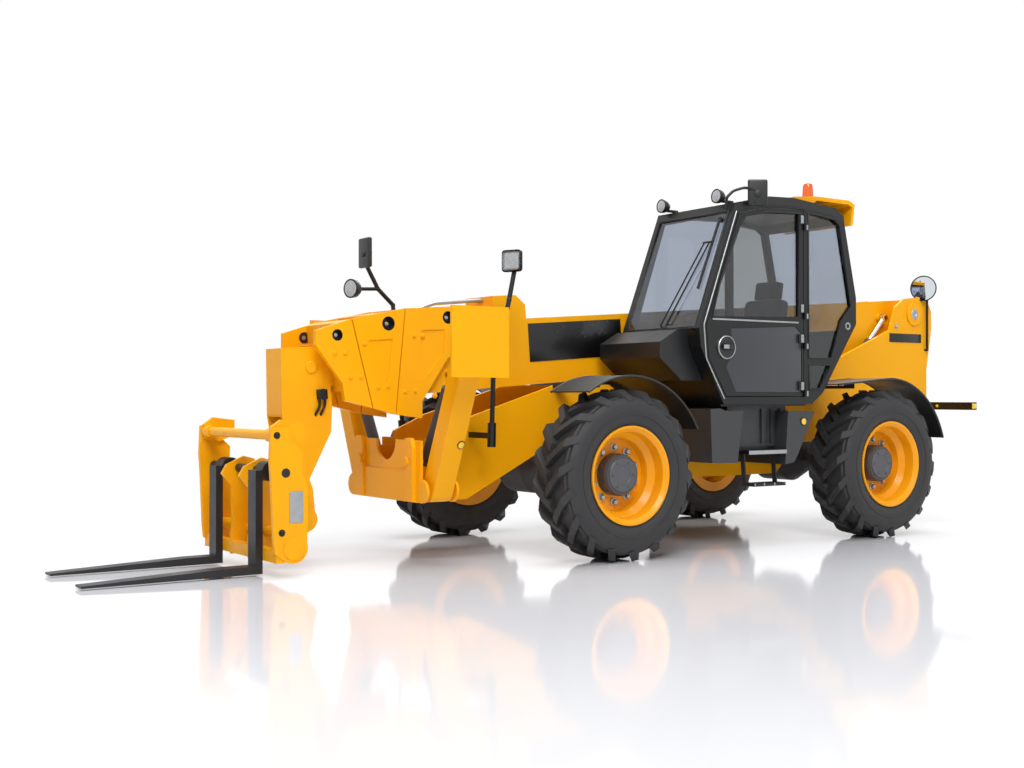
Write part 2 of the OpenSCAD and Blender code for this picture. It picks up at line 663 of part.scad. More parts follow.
// Boom sections: index 0 is the outer one.
function sec_half(i) = boom_half - i * step_in;
function sec_top(i) = boom_up - i * step_in;
function sec_bot(i) = boom_up - boom_h + i * step_in;

module tube(i, u0, u1) difference() {
  block(u0, u1, -sec_half(i), sec_half(i), sec_bot(i), sec_top(i));
  block(u0 - 10, u1 + 10, -sec_half(i) + boom_wall, sec_half(i) - boom_wall, sec_bot(i) + boom_wall, sec_top(i) - boom_wall);
}

// The hole through a collar for the section inside it.
module tunnel(i, g) block(-9000, 9000, -sec_half(i) - g, sec_half(i) + g, sec_bot(i) - g, sec_top(i) + g);

// A collar: two cheek plates and a ring of wear pads around the next section.
module collar(i, r0, r1) difference() {
  union() {
    left_right() plate_y(collar_half - 40, collar_half) children();
    intersection() {
      plate_y(-collar_half, collar_half) children();
      block(r0, r1, -collar_half, collar_half, -1000, 1000);
    }
  }
  tunnel(i + 1, slide_gap);
  block(-9000, 9000, -collar_half + 40, collar_half - 40, -2000, sec_bot(i + 1) - 40);
}

// Pads around the tail of a section, that ride in the section outside it.
module tail_pads(i, u0) difference() {
  block(u0, u0 + 120, -sec_half(i - 1) + boom_wall + slide_gap, sec_half(i - 1) - boom_wall - slide_gap,
    sec_bot(i - 1) + boom_wall + slide_gap, sec_top(i - 1) - boom_wall - slide_gap);
  block(u0 - 10, u0 + 130, -sec_half(i) + boom_wall, sec_half(i) - boom_wall, sec_bot(i) + boom_wall, sec_top(i) - boom_wall);
}

// A pin hole and a pressed recess in both cheeks of a collar.
module cheek_hole(u, w, r) left_right() bar_y(u, w, r, collar_half - 46, collar_half + 1);

module cheek_recess() left_right() plate_y(collar_half - 8, collar_half + 1) children();

lift_b = [2300, -440];
level_b = [322, -17];
level_y = frame_half - 85;
level_a = [pivot_xm + 970, pivot_z - 730];
tilt_q = [20, 900];
tilt_p = [155, 155];

module boom_outer() color("#e8a11c") boom_frame() {
  difference() {
    union() {
      tube(0, -150, boom_len - 30);
      collar(0, boom_len - 150, boom_len - 30)
        polygon([[boom_len - 406, 250], [boom_len - 4, 250], [boom_len + 125, -486], [boom_len - 83, -532],
          [boom_len - 91, -412], [boom_len - 316, -128], [boom_len - 406, -60]]);
      // housing where the hoses enter the boom
      plate_y(-boom_half + 60, boom_half) polygon([[boom_len - 1075, boom_up - 1], [boom_len - 1072, boom_up + 105],
        [boom_len - 990, boom_up + 178], [boom_len - 786, boom_up + 178], [boom_len - 786, boom_up - 1]]);
      // pivot pin and its bosses
      bar_y(0, 0, 60, -frame_half - 15, frame_half + 15);
      left_right() bar_y(0, 0, 110, boom_half - 1, frame_half - frame_t - 6);
      // boss of the levelling cylinder
      bar_y(level_b[0], level_b[1], 42, boom_half - 1, level_y - 28);
      // lift cylinder lugs
      left_right() plate_y(65, 95) {
        translate(lift_b) circle(r = 75);
        polygon([[lift_b[0] - 200, sec_bot(0) + 1], [lift_b[0] - 60, lift_b[1] - 45], [lift_b[0] + 60, lift_b[1] - 45], [lift_b[0] + 200, sec_bot(0) + 1]]);
      }
    }
    bar_y(lift_b[0], lift_b[1], 40, -200, 200);
    cheek_hole(boom_len - 348, 172, 46);
    cheek_recess() polygon([[boom_len - 122, 91], [boom_len - 313, 89], [boom_len - 292, -81], [boom_len - 120, -255], [boom_len - 44, -263]]);
  }
}

module boom_mid_1() color("#e8a11c") boom_frame() difference() {
  union() {
    tube(1, 250, boom_len + 264);
    tail_pads(1, 250);
    collar(1, boom_len + 144, boom_len + 264)
      polygon([[boom_len + 4, 250], [boom_len + 421, 194], [boom_len + 302, -430], [boom_len + 133, -486]]);
  }
  cheek_hole(boom_len + 142, 149, 50);
  cheek_recess() polygon([[boom_len + 303, 41], [boom_len + 117, 41], [boom_len + 177, -250], [boom_len + 237, -250]]);
}

module boom_mid_2() color("#e8a11c") boom_frame() difference() {
  union() {
    tube(2, 330, boom_len + 519);
    tail_pads(2, 330);
    collar(2, boom_len + 434, boom_len + 519)
      polygon([[boom_len + 429, 192], [boom_len + 701, 127], [boom_len + 708, 28], [boom_len + 527, -241], [boom_len + 516, -362],
        [boom_len + 310, -428]]);
  }
  cheek_hole(boom_len + 542, 88, 40);
}

neck_half = 125;

module boom_inner() color("#e8a11c") boom_frame() {
  difference() {
    union() {
      tube(3, 410, boom_len + 640);
      tail_pads(3, 410);
      plate_y(-neck_half, neck_half) {
        polygon([[boom_len + 539, 23], [boom_len + 891, 22], [boom_len + 916, -428], [boom_len + 900, -600],
          [foot_u + 88, foot_w + 150], [foot_u + 85, foot_w], [foot_u - 85, foot_w], [foot_u - 80, foot_w + 200],
          [boom_len + 745, -880], [boom_len + 561, -575], [boom_len + 539, -400]]);
        translate([foot_u, foot_w]) circle(r = 85);
      }
    }
    plate_y(-neck_half + 25, neck_half - 25) polygon([[boom_len + 660, 300], [boom_len + 869, 300], [boom_len + 892, -430],
      [foot_u + 400, -600], [foot_u + 400, foot_w - 300], [foot_u - 400, foot_w - 300], [foot_u - 400, -990],
      [boom_len + 775, -850], [boom_len + 590, -560], [boom_len + 580, -300], [boom_len + 660, -300]]);
  }
  bar_y(foot_u, foot_w, 40, -170, 170);
  // pin of the tilt cylinder
  translate([foot_u, 0, foot_w]) rotate([0, -boom_slope, 0]) bar_y(tilt_q[0], tilt_q[1], 20, -neck_half, neck_half);
}

// Carriage: X and Z measured from the tilt pivot.
shaft = [361, 351];
top_tube = [415, 590];
disc = [304, -130];

module side_plate_outline() {
  translate(disc) circle(r = 97);
  polygon([[212, -110], [207, 145], [212, 288], [247, 337], [242, 480], [330, 560], [330, 640], [389, 642], [461, 630],
    [469, 431], [460, 313], [443, -78], [434, -157], [379, -200], [304, -200]]);
}

module lug_outline() {
  circle(r = 80);
  polygon([[-40, -70], [260, -230], [416, -230], [416, -100], [405, -13], [414, 229], [484, 315], [449, 375], [325, 430],
    [249, 410], [190, 140], [0, 79]]);
}

module carriage() color("#e8a11c") carriage_frame() difference() {
  union() {
    left_right() plate_y(carriage_half - 30, carriage_half) side_plate_outline();
    left_right() plate_y(neck_half + 10, neck_half + 40) lug_outline();
    // ears and discs on the side plates
    left_right() plate_y(carriage_half - 62, carriage_half - 29) polygon([[222, 560], [222, 668], [382, 688], [450, 640], [440, 540], [330, 520]]);
    left_right() bar_y(disc[0], disc[1], 74, carriage_half - 1, carriage_half + 6);
    bar_y(top_tube[0], top_tube[1], 32, -carriage_half, carriage_half);
    left_right() bar_y(top_tube[0], top_tube[1], 44, carriage_half - 130, carriage_half - 40);
    block(360, fork_face - 50, -carriage_half + 10, carriage_half - 10, -220, -140);
    bar_y(280, -60, 38, -carriage_half, carriage_half);
    // lever plates of the tilt cylinder
    left_right() plate_y(42, 64) {
      translate(tilt_p) circle(r = 40);
      polygon([tilt_p + [-20, -35], tilt_p + [38, 12], [330, -60], [280, -100]]);
    }
  }
  bar_y(tilt_p[0], tilt_p[1], 18, -100, 100);
  bar_y(0, 0, 40 + run, -300, 300);
  bar_y(shaft[0], shaft[1], 30 + seat_gap, -900, 900);
}

module fork() difference() {
  union() {
    block(fork_face - 50, fork_face, -fork_w / 2, fork_w / 2, -307, 360);
    plate_y(-fork_w / 2, fork_w / 2) polygon([[fork_face - 50, -307], [fork_face + fork_len, -307], [fork_face + fork_len, -293],
      [fork_face + 200, -257], [fork_face, -257]]);
    bar_y(shaft[0], shaft[1], 65, -fork_w / 2, fork_w / 2);
  }
  bar_y(shaft[0], shaft[1], 30 + seat_gap, -900, 900);
}

module forks() color("#26272a") carriage_frame() {
  left_right() translate([0, fork_y, 0]) fork();
  bar_y(shaft[0], shaft[1], 30, -carriage_half, carriage_half);
}

// Lift cylinder: drawn along X from its lower pin.
lift_bx = pivot_xm + lift_b[0] * cs + lift_b[1] * sn;
lift_bz = pivot_z - lift_b[0] * sn + lift_b[1] * cs;
lift_v = [lift_bx - lift_a[0], lift_bz - lift_a[1]];
lift_len = norm(lift_v);
lift_el = atan2(lift_v[1], lift_v[0]);

module lift_at() mid() translate([lift_a[0], 0, lift_a[1]]) rotate([0, -lift_el, 0]) children();

module lift_barrel() color("#3a3b3d") lift_at() difference() {
  union() {
    bar_y(0, 0, 80, -60, 60);
    bar_x(0, 0, 80, 60, lift_len - 180);
  }
  bar_y(0, 0, 45 + run, -100, 100);
  bar_x(0, 0, 48 + run, 110, 4000);
}

module lift_rod() color("#c8cacc") lift_at() difference() {
  union() {
    bar_x(0, 0, 48, 130, lift_len - 30);
    bar_y(lift_len, 0, 70, -58, 58);
  }
  bar_y(lift_len, 0, 40, -100, 100);
}

// Levelling cylinder beside the boom's rear end, drawn along X from its lower pin.
level_bx = pivot_xm + level_b[0] * cs + level_b[1] * sn;
level_bz = pivot_z - level_b[0] * sn + level_b[1] * cs;
level_v = [level_bx - level_a[0], level_bz - level_a[1]];
level_len = norm(level_v);
level_el = atan2(level_v[1], level_v[0]);

module level_at() mid() translate([level_a[0], level_y, level_a[1]]) rotate([0, -level_el, 0]) children();

module level_barrel() color("#3a3b3d") level_at() difference() {
  union() {
    bar_y(0, 0, 36, -22, 22);
    bar_x(0, 0, 36, 28, level_len - 300);
  }
  bar_y(0, 0, 18 + run, -60, 60);
  bar_x(0, 0, 20 + run, 60, 3000);
}

module level_rod() color("#c8cacc") level_at() difference() {
  union() {
    bar_x(0, 0, 20, 90, level_len - 20);
    bar_y(level_len, 0, 36, -22, 22);
  }
  bar_y(level_len, 0, 18, -60, 60);
}

// Tilt cylinder inside the boom's neck, drawn along X from its upper pin.
tilt_v = tilt_p - tilt_q;
tilt_len = norm(tilt_v);
tilt_el = atan2(tilt_v[1], tilt_v[0]);

module tilt_at() carriage_frame() translate([tilt_q[0], 0, tilt_q[1]]) rotate([0, -tilt_el, 0]) children();

module tilt_barrel() color("#3a3b3d") tilt_at() difference() {
  union() {
    bar_y(0, 0, 40, -36, 36);
    bar_x(0, 0, 42, 30, tilt_len - 130);
  }
  bar_y(0, 0, 20 + run, -60, 60);
  bar_x(0, 0, 22 + run, 60, 3000);
}

module tilt_rod() color("#c8cacc") tilt_at() difference() {
  union() {
    bar_x(0, 0, 22, 130, tilt_len - 20);
    bar_y(tilt_len, 0, 36, -35, 35);
  }
  bar_y(tilt_len, 0, 18, -60, 60);
}

chassis_frame();
front_frame();
counterweight();
front_axle();
rear_axle();
driveline();
engine_block();
engine_tray();
engine_bonnet();
side_boxes();
steps();
mudguards();
cab_base();
cab_frame();
cab_roof();
roof_visor();
cab_glass();
scuttle();
seat();
steering_column();
door();
door_glass();
light_bar();
lamp_posts();
work_lamps();
mirrors();
beacon();
knuckle_fl();
knuckle_fr();
knuckle_rl();
knuckle_rr();
rim_fl();
rim_fr();
rim_rl();
rim_rr();
tyre_fl();
tyre_fr();
tyre_rl();
tyre_rr();
stab_leg_left();
stab_leg_right();
stab_foot_left();
stab_foot_right();
stab_barrel_left();
stab_barrel_right();
stab_rod_left();
stab_rod_right();
boom_outer();
boom_mid_1();
boom_mid_2();
boom_inner();
carriage();
forks();
lift_barrel();
lift_rod();
level_barrel();
level_rod();
tilt_barrel();
tilt_rod();
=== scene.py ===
import json
import math

import bmesh
import bpy
from mathutils import Matrix, Vector


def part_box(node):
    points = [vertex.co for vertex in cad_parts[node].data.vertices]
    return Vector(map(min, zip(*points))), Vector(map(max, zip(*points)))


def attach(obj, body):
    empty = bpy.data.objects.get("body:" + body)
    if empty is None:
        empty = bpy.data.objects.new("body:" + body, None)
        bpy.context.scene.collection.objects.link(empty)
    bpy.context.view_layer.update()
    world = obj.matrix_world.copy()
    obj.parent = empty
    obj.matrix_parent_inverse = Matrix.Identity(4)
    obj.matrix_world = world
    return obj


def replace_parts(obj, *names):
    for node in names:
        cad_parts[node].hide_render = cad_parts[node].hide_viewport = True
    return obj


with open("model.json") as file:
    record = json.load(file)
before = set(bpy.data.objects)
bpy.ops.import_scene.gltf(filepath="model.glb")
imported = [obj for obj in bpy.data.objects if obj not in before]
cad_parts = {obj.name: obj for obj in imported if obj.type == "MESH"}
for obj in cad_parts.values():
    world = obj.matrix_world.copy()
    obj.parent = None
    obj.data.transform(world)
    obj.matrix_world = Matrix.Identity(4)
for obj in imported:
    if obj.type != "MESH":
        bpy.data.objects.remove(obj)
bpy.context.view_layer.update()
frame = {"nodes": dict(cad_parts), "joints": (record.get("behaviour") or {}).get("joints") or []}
nodes = frame["nodes"]
joints = {joint["name"]: joint for joint in frame["joints"]}


# Materials

def linear(hex_colour):
    """An sRGB hex colour as linear red, green, blue and a full alpha."""
    parts = [int(hex_colour[i:i + 2], 16) / 255 for i in (1, 3, 5)]
    return [c / 12.92 if c <= 0.04045 else ((c + 0.055) / 1.055) ** 2.4 for c in parts] + [1.0]


def add_node(material, kind, inputs=None, **settings):
    """Adds a shader node: settings are its own values, inputs are numbers, colours or sockets to link."""
    node = material.node_tree.nodes.new("ShaderNode" + kind)
    for name, value in settings.items():
        setattr(node, name, value)
    for name, value in (inputs or {}).items():
        if isinstance(value, bpy.types.NodeSocket):
            material.node_tree.links.new(value, node.inputs[name])
        else:
            node.inputs[name].default_value = value
    return node


def start_material(name, **sockets):
    """A named material whose shader has these constant sockets."""
    material = bpy.data.materials.new(name)
    material.use_nodes = True
    shader = material.node_tree.nodes["Principled BSDF"]
    for socket, value in sockets.items():
        shader.inputs[socket.replace("_", " ")].default_value = value
    place = add_node(material, "TexCoord").outputs["Object"]
    return material, shader, place


dust_mm = 70


def finish_surface(material, shader, place, tones, tone_mm, rough, grain_mm, grain_depth_mm, low=None):
    """Two tones in soft patches of tone_mm, roughness between two values, and a grain of grain_mm raised by
    grain_depth_mm. low is a third tone that gathers as dust near the ground."""
    links = material.node_tree.links
    patches = add_node(material, "TexNoise",
                       {"Vector": place, "Scale": 1000 / tone_mm, "Detail": 4.0, "Roughness": 0.6})
    colour = add_node(material, "Mix", {0: patches.outputs["Fac"], 6: linear(tones[0]), 7: linear(tones[1])},
                      data_type="RGBA")
    if low:
        height = add_node(material, "SeparateXYZ", {"Vector": place})
        near = add_node(material, "MapRange", {"Value": height.outputs["Z"], 1: 0.05, 2: 0.75, 3: 1.0, 4: 0.0})
        specks = add_node(material, "TexNoise",
                          {"Vector": place, "Scale": 1000 / dust_mm, "Detail": 6.0, "Roughness": 0.7})
        spots = add_node(material, "MapRange", {"Value": specks.outputs["Fac"], 1: 0.45, 2: 0.75, 3: 0.0, 4: low[1]})
        dust = add_node(material, "Math", {0: near.outputs[0], 1: spots.outputs[0]}, operation="MULTIPLY")
        colour = add_node(material, "Mix", {0: dust.outputs[0], 6: colour.outputs[2], 7: linear(low[0])},
                          data_type="RGBA")
    links.new(colour.outputs[2], shader.inputs["Base Color"])
    gloss = add_node(material, "MapRange", {"Value": patches.outputs["Fac"], 1: 0.3, 2: 0.7, 3: rough[0], 4: rough[1]})
    links.new(gloss.outputs[0], shader.inputs["Roughness"])
    grain = add_node(material, "TexNoise", {"Vector": place, "Scale": 1000 / grain_mm, "Detail": 3.0})
    relief = add_node(material, "Bump",
                      {"Height": grain.outputs["Fac"], "Distance": grain_depth_mm / 1000, "Strength": 0.6})
    links.new(relief.outputs[0], shader.inputs["Normal"])
    return material


# Two-pack enamel sprayed on steel plate: warm yellow, a hard gloss with the faint orange peel of a spray gun.
enamel = finish_surface(*start_material("yellow_two_pack_enamel", Coat_Weight=0.05, Coat_Roughness=0.1,
                                        Specular_IOR_Level=0.14),
                        ("#F8B10F", "#F4A60A"), 900, (0.30, 0.38), 14, 0.25, ("#B98A3E", 0.3))
# Powder coat on the cab's steel sections: near black, satin, with a fine pebble.
powder_coat = finish_surface(*start_material("black_powder_coat", Specular_IOR_Level=0.4),
                             ("#0D0E0F", "#141516"), 500, (0.30, 0.40), 5, 0.12)
# Moulded polyethylene of mudguards and trims: black with a worn grey bloom.
moulding = finish_surface(*start_material("black_moulded_polyethylene"),
                          ("#101112", "#191A1C"), 260, (0.34, 0.48), 7, 0.2, ("#4A4641", 0.25))
# The same material in dark grey, for the boxes beside the steps.
grey_moulding = finish_surface(*start_material("grey_moulded_polyethylene"),
                               ("#2E2F31", "#38393C"), 260, (0.36, 0.5), 7, 0.2, ("#5A5550", 0.3))
# Dark grey two-pack enamel on the door's skin.
grey_enamel = finish_surface(*start_material("grey_two_pack_enamel", Coat_Weight=0.2, Coat_Roughness=0.12),
                             ("#2B2E32", "#323539"), 600, (0.32, 0.40), 12, 0.2)
# Cast iron axle housings under a thin coat of grey paint: sandy cast skin.
casting = finish_surface(*start_material("painted_cast_iron"),
                         ("#2C2E31", "#3A3C3F"), 120, (0.5, 0.65), 9, 0.5, ("#6B6257", 0.4))
# Tyre rubber: carbon black, dull, browner where soil has dried on it.
rubber = finish_surface(*start_material("tyre_rubber"),
                        ("#222224", "#2C2C2D"), 140, (0.55, 0.72), 6, 0.3, ("#4A443D", 0.4))
# Zinc plate on step nosings, straps, pipes and fasteners: pale grey metal with a fine crystal.
zinc = finish_surface(*start_material("zinc_plated_steel", Metallic=0.9),
                      ("#B4B7B9", "#999C9E"), 60, (0.32, 0.46), 4, 0.1)
# Hard chrome on the cylinder rods.
chrome = finish_surface(*start_material("hard_chrome", Metallic=1.0),
                        ("#D8DADC", "#CBCDD0"), 200, (0.08, 0.14), 3, 0.02)
# Forged fork steel, blackened and rubbed along its faces.
fork_steel = finish_surface(*start_material("blackened_fork_steel", Metallic=0.3),
                            ("#1C1D1F", "#2B2C2E"), 180, (0.40, 0.55), 8, 0.2)
# Woven seat cover over foam: its thread, about 1 mm on the real cloth, is drawn at 2.5 mm so that it shows.
seat_cloth = finish_surface(*start_material("woven_seat_cloth", Sheen_Weight=0.3),
                            ("#26272A", "#303236"), 90, (0.8, 0.9), 2.5, 0.5)
# Extruded rubber of window seals and bellows: flat black.
seal_rubber = finish_surface(*start_material("extruded_seal_rubber"),
                             ("#0F1011", "#17181A"), 80, (0.6, 0.75), 5, 0.15)
# Amber polycarbonate of the beacon's lens.
amber = finish_surface(*start_material("amber_polycarbonate", Transmission_Weight=0.35, IOR=1.58),
                       ("#E8641A", "#F07A1E"), 60, (0.12, 0.2), 8, 0.05)
# Red and yellow acrylic of tail lamps and reflectors, pressed with a pattern of small prisms.
red_acrylic = finish_surface(*start_material("red_pressed_acrylic", IOR=1.49, Coat_Weight=0.5),
                             ("#A3120E", "#BF1A14"), 30, (0.15, 0.25), 6, 0.6)
yellow_acrylic = finish_surface(*start_material("yellow_pressed_acrylic", IOR=1.49, Coat_Weight=0.5),
                                ("#F2C21A", "#F7D02C"), 30, (0.15, 0.25), 6, 0.6)
# Clear pressed glass of the lamps over a bright reflector, with its optic flutes.
lamp_glass = finish_surface(*start_material("fluted_lamp_glass", Metallic=0.55, Coat_Weight=1.0, Coat_Roughness=0.04),
                            ("#8D9196", "#B9BDC1"), 30, (0.15, 0.3), 12, 3.0)
# Silvered glass of the mirrors.
mirror_glass = finish_surface(*start_material("silvered_mirror_glass", Metallic=1.0),
                              ("#DDE2E5", "#D2D8DC"), 150, (0.03, 0.06), 30, 0.01)
# Grey enamel on hubs and axle covers.
axle_enamel = finish_surface(*start_material("grey_axle_enamel"),
                             ("#4B4E53", "#54575C"), 150, (0.38, 0.5), 8, 0.2)
# Satin black film on the bare panels of boom and tower.
panel_film = finish_surface(*start_material("satin_black_film"),
                            ("#0B0B0C", "#121213"), 200, (0.25, 0.32), 6, 0.04)


def cab_glazing():
    """Toughened float glass, smooth, coloured by the way each pane faces: pale in the windscreen and rear window, a
    painted reflection, and grey where it faces sideways, painted shade.
    """
    material, shader, place = start_material("toughened_float_glass", Transmission_Weight=1.0, IOR=1.5)
    facing = add_node(material, "SeparateXYZ", {"Vector": add_node(material, "NewGeometry").outputs["Normal"]})
    sideways = add_node(material, "Math", {0: facing.outputs["Y"]}, operation="ABSOLUTE")
    # Panes facing sideways take the grey colour, painted shade; the others take the pale colour, a painted reflection.
    side = add_node(material, "Math", {0: sideways.outputs[0], 1: 0.5}, operation="GREATER_THAN")
    painted_light_tint = add_node(material, "Mix", {0: side.outputs[0], 6: linear("#D1D9EB"), 7: linear("#B4B8BA")},
                    data_type="RGBA")
    material.node_tree.links.new(painted_light_tint.outputs[2], shader.inputs["Base Color"])
    film = add_node(material, "TexNoise", {"Vector": place, "Scale": 3.0, "Detail": 2.0})
    haze = add_node(material, "MapRange", {"Value": film.outputs["Fac"], 3: 0.0, 4: 0.02})
    material.node_tree.links.new(haze.outputs[0], shader.inputs["Roughness"])
    return material


glazing = cab_glazing()


wheel_corners = ("fl", "fr", "rl", "rr")
hub_radius = 0.1501


def wheel_paint(corner):
    """Orange-yellow wheel enamel, with the hub inside the disc in grey axle paint."""
    centre = Vector(joints["spin_" + corner]["pos_m"])
    material, shader, place = start_material("yellow_wheel_enamel_" + corner, Coat_Weight=0.12, Coat_Roughness=0.1,
                                             Specular_IOR_Level=0.25)
    finish_surface(material, shader, place, ("#F4A60F", "#EE9A0A"), 300, (0.3, 0.4), 12, 0.2)
    paint = shader.inputs["Base Color"].links[0].from_socket
    arm = add_node(material, "VectorMath", {0: place, 1: centre}, operation="SUBTRACT")
    flat = add_node(material, "VectorMath", {0: arm.outputs[0], 1: (1, 0, 1)}, operation="MULTIPLY")
    reach = add_node(material, "VectorMath", {0: flat.outputs[0]}, operation="LENGTH")
    inner = add_node(material, "Math", {0: reach.outputs["Value"], 1: hub_radius}, operation="LESS_THAN")
    mixed = add_node(material, "Mix", {0: inner.outputs[0], 6: paint, 7: linear("#4B4D50")}, data_type="RGBA")
    material.node_tree.links.new(mixed.outputs[2], shader.inputs["Base Color"])
    return material


finishes = {
    enamel: ["chassis_frame", "front_frame", "engine_bonnet", "roof_visor", "stab_leg_left", "stab_leg_right",
             "stab_foot_left", "stab_foot_right", "boom_outer", "boom_mid_1", "boom_mid_2", "boom_inner", "carriage"],
    powder_coat: ["counterweight", "engine_tray", "cab_base", "cab_frame", "door", "steps", "light_bar", "lamp_posts"],
    grey_moulding: ["side_boxes"],
    moulding: ["mudguards", "cab_roof", "scuttle", "work_lamps", "mirrors", "steering_column"],
    casting: ["front_axle", "rear_axle", "driveline", "engine_block", "lift_barrel", "level_barrel", "tilt_barrel",
              "stab_barrel_left", "stab_barrel_right", *("knuckle_" + corner for corner in wheel_corners)],
    rubber: ["tyre_" + corner for corner in wheel_corners],
    chrome: ["lift_rod", "level_rod", "tilt_rod", "stab_rod_left", "stab_rod_right"],
    fork_steel: ["forks"],
    seat_cloth: ["seat"],
    amber: ["beacon"],
    glazing: ["door_glass", "cab_glass"],
}
for corner in wheel_corners:
    finishes[wheel_paint(corner)] = ["rim_" + corner]
for material, names in finishes.items():
    for name in names:
        for slot in nodes[name].material_slots:
            slot.material = material


# Making pieces

# Places are given in metres from the middle of the wheelbase on the ground, along the boom from its pivot,
# and from the carriage's pin.
wheelbase_middle = Matrix.Translation(((joints["spin_fl"]["pos_m"][0] + joints["spin_rl"]["pos_m"][0]) / 2, 0, 0))
boom_run = Vector(joints["extend_1"]["axis"])
boom_line = (Matrix.Translation(joints["boom_lift"]["pos_m"])
             @ Matrix.Rotation(math.atan2(-boom_run.z, boom_run.x), 4, "Y"))
carriage_pin = Matrix.Translation(joints["carriage_tilt"]["pos_m"])


left_and_right = (("left", 1), ("right", -1))
signs = (1, -1)


def dress(made, material, body):
    """Gives a piece its finish, and lets it ride on a body."""
    made.data.materials.append(material)
    bpy.context.scene.collection.objects.link(made)
    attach(made, body)
    return made


def piece(name, bm, material, body, place=wheelbase_middle, crease=35):
    """A piece from a bmesh, set in its place, smooth except where faces meet at more than crease degrees."""
    bmesh.ops.transform(bm, matrix=place, verts=bm.verts)
    bmesh.ops.remove_doubles(bm, verts=bm.verts, dist=0.00002)
    bmesh.ops.recalc_face_normals(bm, faces=bm.faces)
    mesh = bpy.data.meshes.new(name)
    bm.to_mesh(mesh)
    bm.free()
    mesh.shade_smooth()
    mesh.set_sharp_from_angle(angle=math.radians(crease))
    return dress(bpy.data.objects.new(name, mesh), material, body)


def tube(name, points, radius, material, body, place=wheelbase_middle, bend=0.0, closed=False):
    """A round bar or pipe along points, its corners bent to a radius of about bend."""
    points = [Vector(point) for point in points]
    path = []
    for i, point in enumerate(points):
        if bend and 0 < i < len(points) - 1:
            start = point + (points[i - 1] - point).normalized() * bend
            end = point + (points[i + 1] - point).normalized() * bend
            for step in range(7):
                t = step / 6
                path.append(start * (1 - t) ** 2 + point * (2 * t * (1 - t)) + end * t ** 2)
        else:
            path.append(point)
    curve = bpy.data.curves.new(name, "CURVE")
    curve.dimensions = "3D"
    curve.bevel_depth = radius
    curve.bevel_resolution = 3
    curve.use_fill_caps = True
    spline = curve.splines.new("POLY")
    spline.points.add(len(path) - 1)
    for knot, point in zip(spline.points, path):
        knot.co = (*(place @ point), 1.0)
    spline.use_cyclic_u = closed
    return dress(bpy.data.objects.new(name, curve), material, body)


def rounded_block(bm, low, high, rounding, steps=2):
    """A block between two corners with its edges rounded."""
    low, high = Vector(low), Vector(high)
    corners = bmesh.ops.create_cube(bm, size=1.0)["verts"]
    bmesh.ops.scale(bm, vec=high - low, verts=corners)
    bmesh.ops.translate(bm, vec=(low + high) / 2, verts=corners)
    edges = list({edge for corner in corners for edge in corner.link_edges})
    bmesh.ops.bevel(bm, geom=edges, offset=rounding, offset_type="OFFSET", affect="EDGES", segments=steps,
                    profile=0.5, material=-1)


def turned(bm, outline, centre, axis, steps=32, ring=False):
    """A turned form about an axis: outline lists (distance along it, radius), and a ring's outline closes on itself."""
    centre, axis = Vector(centre), Vector(axis).normalized()
    side = axis.orthogonal().normalized()
    verts = [bm.verts.new(centre + axis * along + side * radius) for along, radius in outline]
    pairs = list(zip(verts, verts[1:])) + ([(verts[-1], verts[0])] if ring else [])
    edges = [bm.edges.new(pair) for pair in pairs]
    bmesh.ops.spin(bm, geom=verts + edges, cent=centre, axis=axis, angle=2 * math.pi, steps=steps, use_merge=True)


def bolt(bm, centre, axis, across, height):
    """A chamfered hexagon head on a round washer, sunk a little into what it holds."""
    r = across / 1.732
    turned(bm, [(-0.01, 0), (-0.01, r * 1.5), (height * 0.2, r * 1.5), (height * 0.24, r * 1.35), (height * 0.24, 0)],
           centre, axis, 16)
    turned(bm, [(-0.005, 0), (-0.005, r), (height * 0.85, r), (height, r * 0.82), (height, 0)], centre, axis, 6)


# Wheels

sidewall = [(0.165, 0.362), (0.188, 0.364), (0.1985, 0.385), (0.2045, 0.42), (0.2075, 0.46), (0.2045, 0.495),
            (0.195, 0.52), (0.178, 0.543), (0.150, 0.543), (0.150, 0.362)]
moulded_rib = [(0.200, 0.425), (0.2085, 0.427), (0.2095, 0.432), (0.2085, 0.437), (0.200, 0.439)]
wheel_nuts, nut_ring, cover_bolts, cover_ring = 10, 0.195, 6, 0.094
for corner in wheel_corners:
    centre = Vector(joints["spin_" + corner]["pos_m"])
    outward = Vector((0, 1 if corner.endswith("l") else -1, 0))
    wheel = "wheel_" + corner
    bm = bmesh.new()
    for i in range(wheel_nuts):
        arm = Matrix.Rotation(math.radians(18 + 36 * i), 4, outward) @ Vector((nut_ring, 0, 0))
        bolt(bm, centre + arm - outward * 0.008, outward, 0.034, 0.03)
    piece("wheel_nuts_" + corner, bm, zinc, wheel, Matrix())
    bm = bmesh.new()
    turned(bm, [(0.086, 0), (0.086, 0.122), (0.097, 0.122), (0.102, 0.116), (0.102, 0.07), (0.098, 0.066), (0.098, 0)],
           centre, outward, 48)
    for i in range(cover_bolts):
        arm = Matrix.Rotation(math.radians(60 * i), 4, outward) @ Vector((cover_ring, 0, 0))
        bolt(bm, centre + arm + outward * 0.101, outward, 0.015, 0.008)
    piece("hub_cover_" + corner, bm, axle_enamel, wheel, Matrix())
    bm = bmesh.new()
    for side in (outward, -outward):
        turned(bm, sidewall, centre, side, 72, ring=True)
        turned(bm, moulded_rib, centre, side, 72)
    piece("tyre_sidewalls_" + corner, bm, rubber, wheel, Matrix())

# Edging along the mudguards: from a first angle to a last about the axle, with a straight run-out ahead of the first

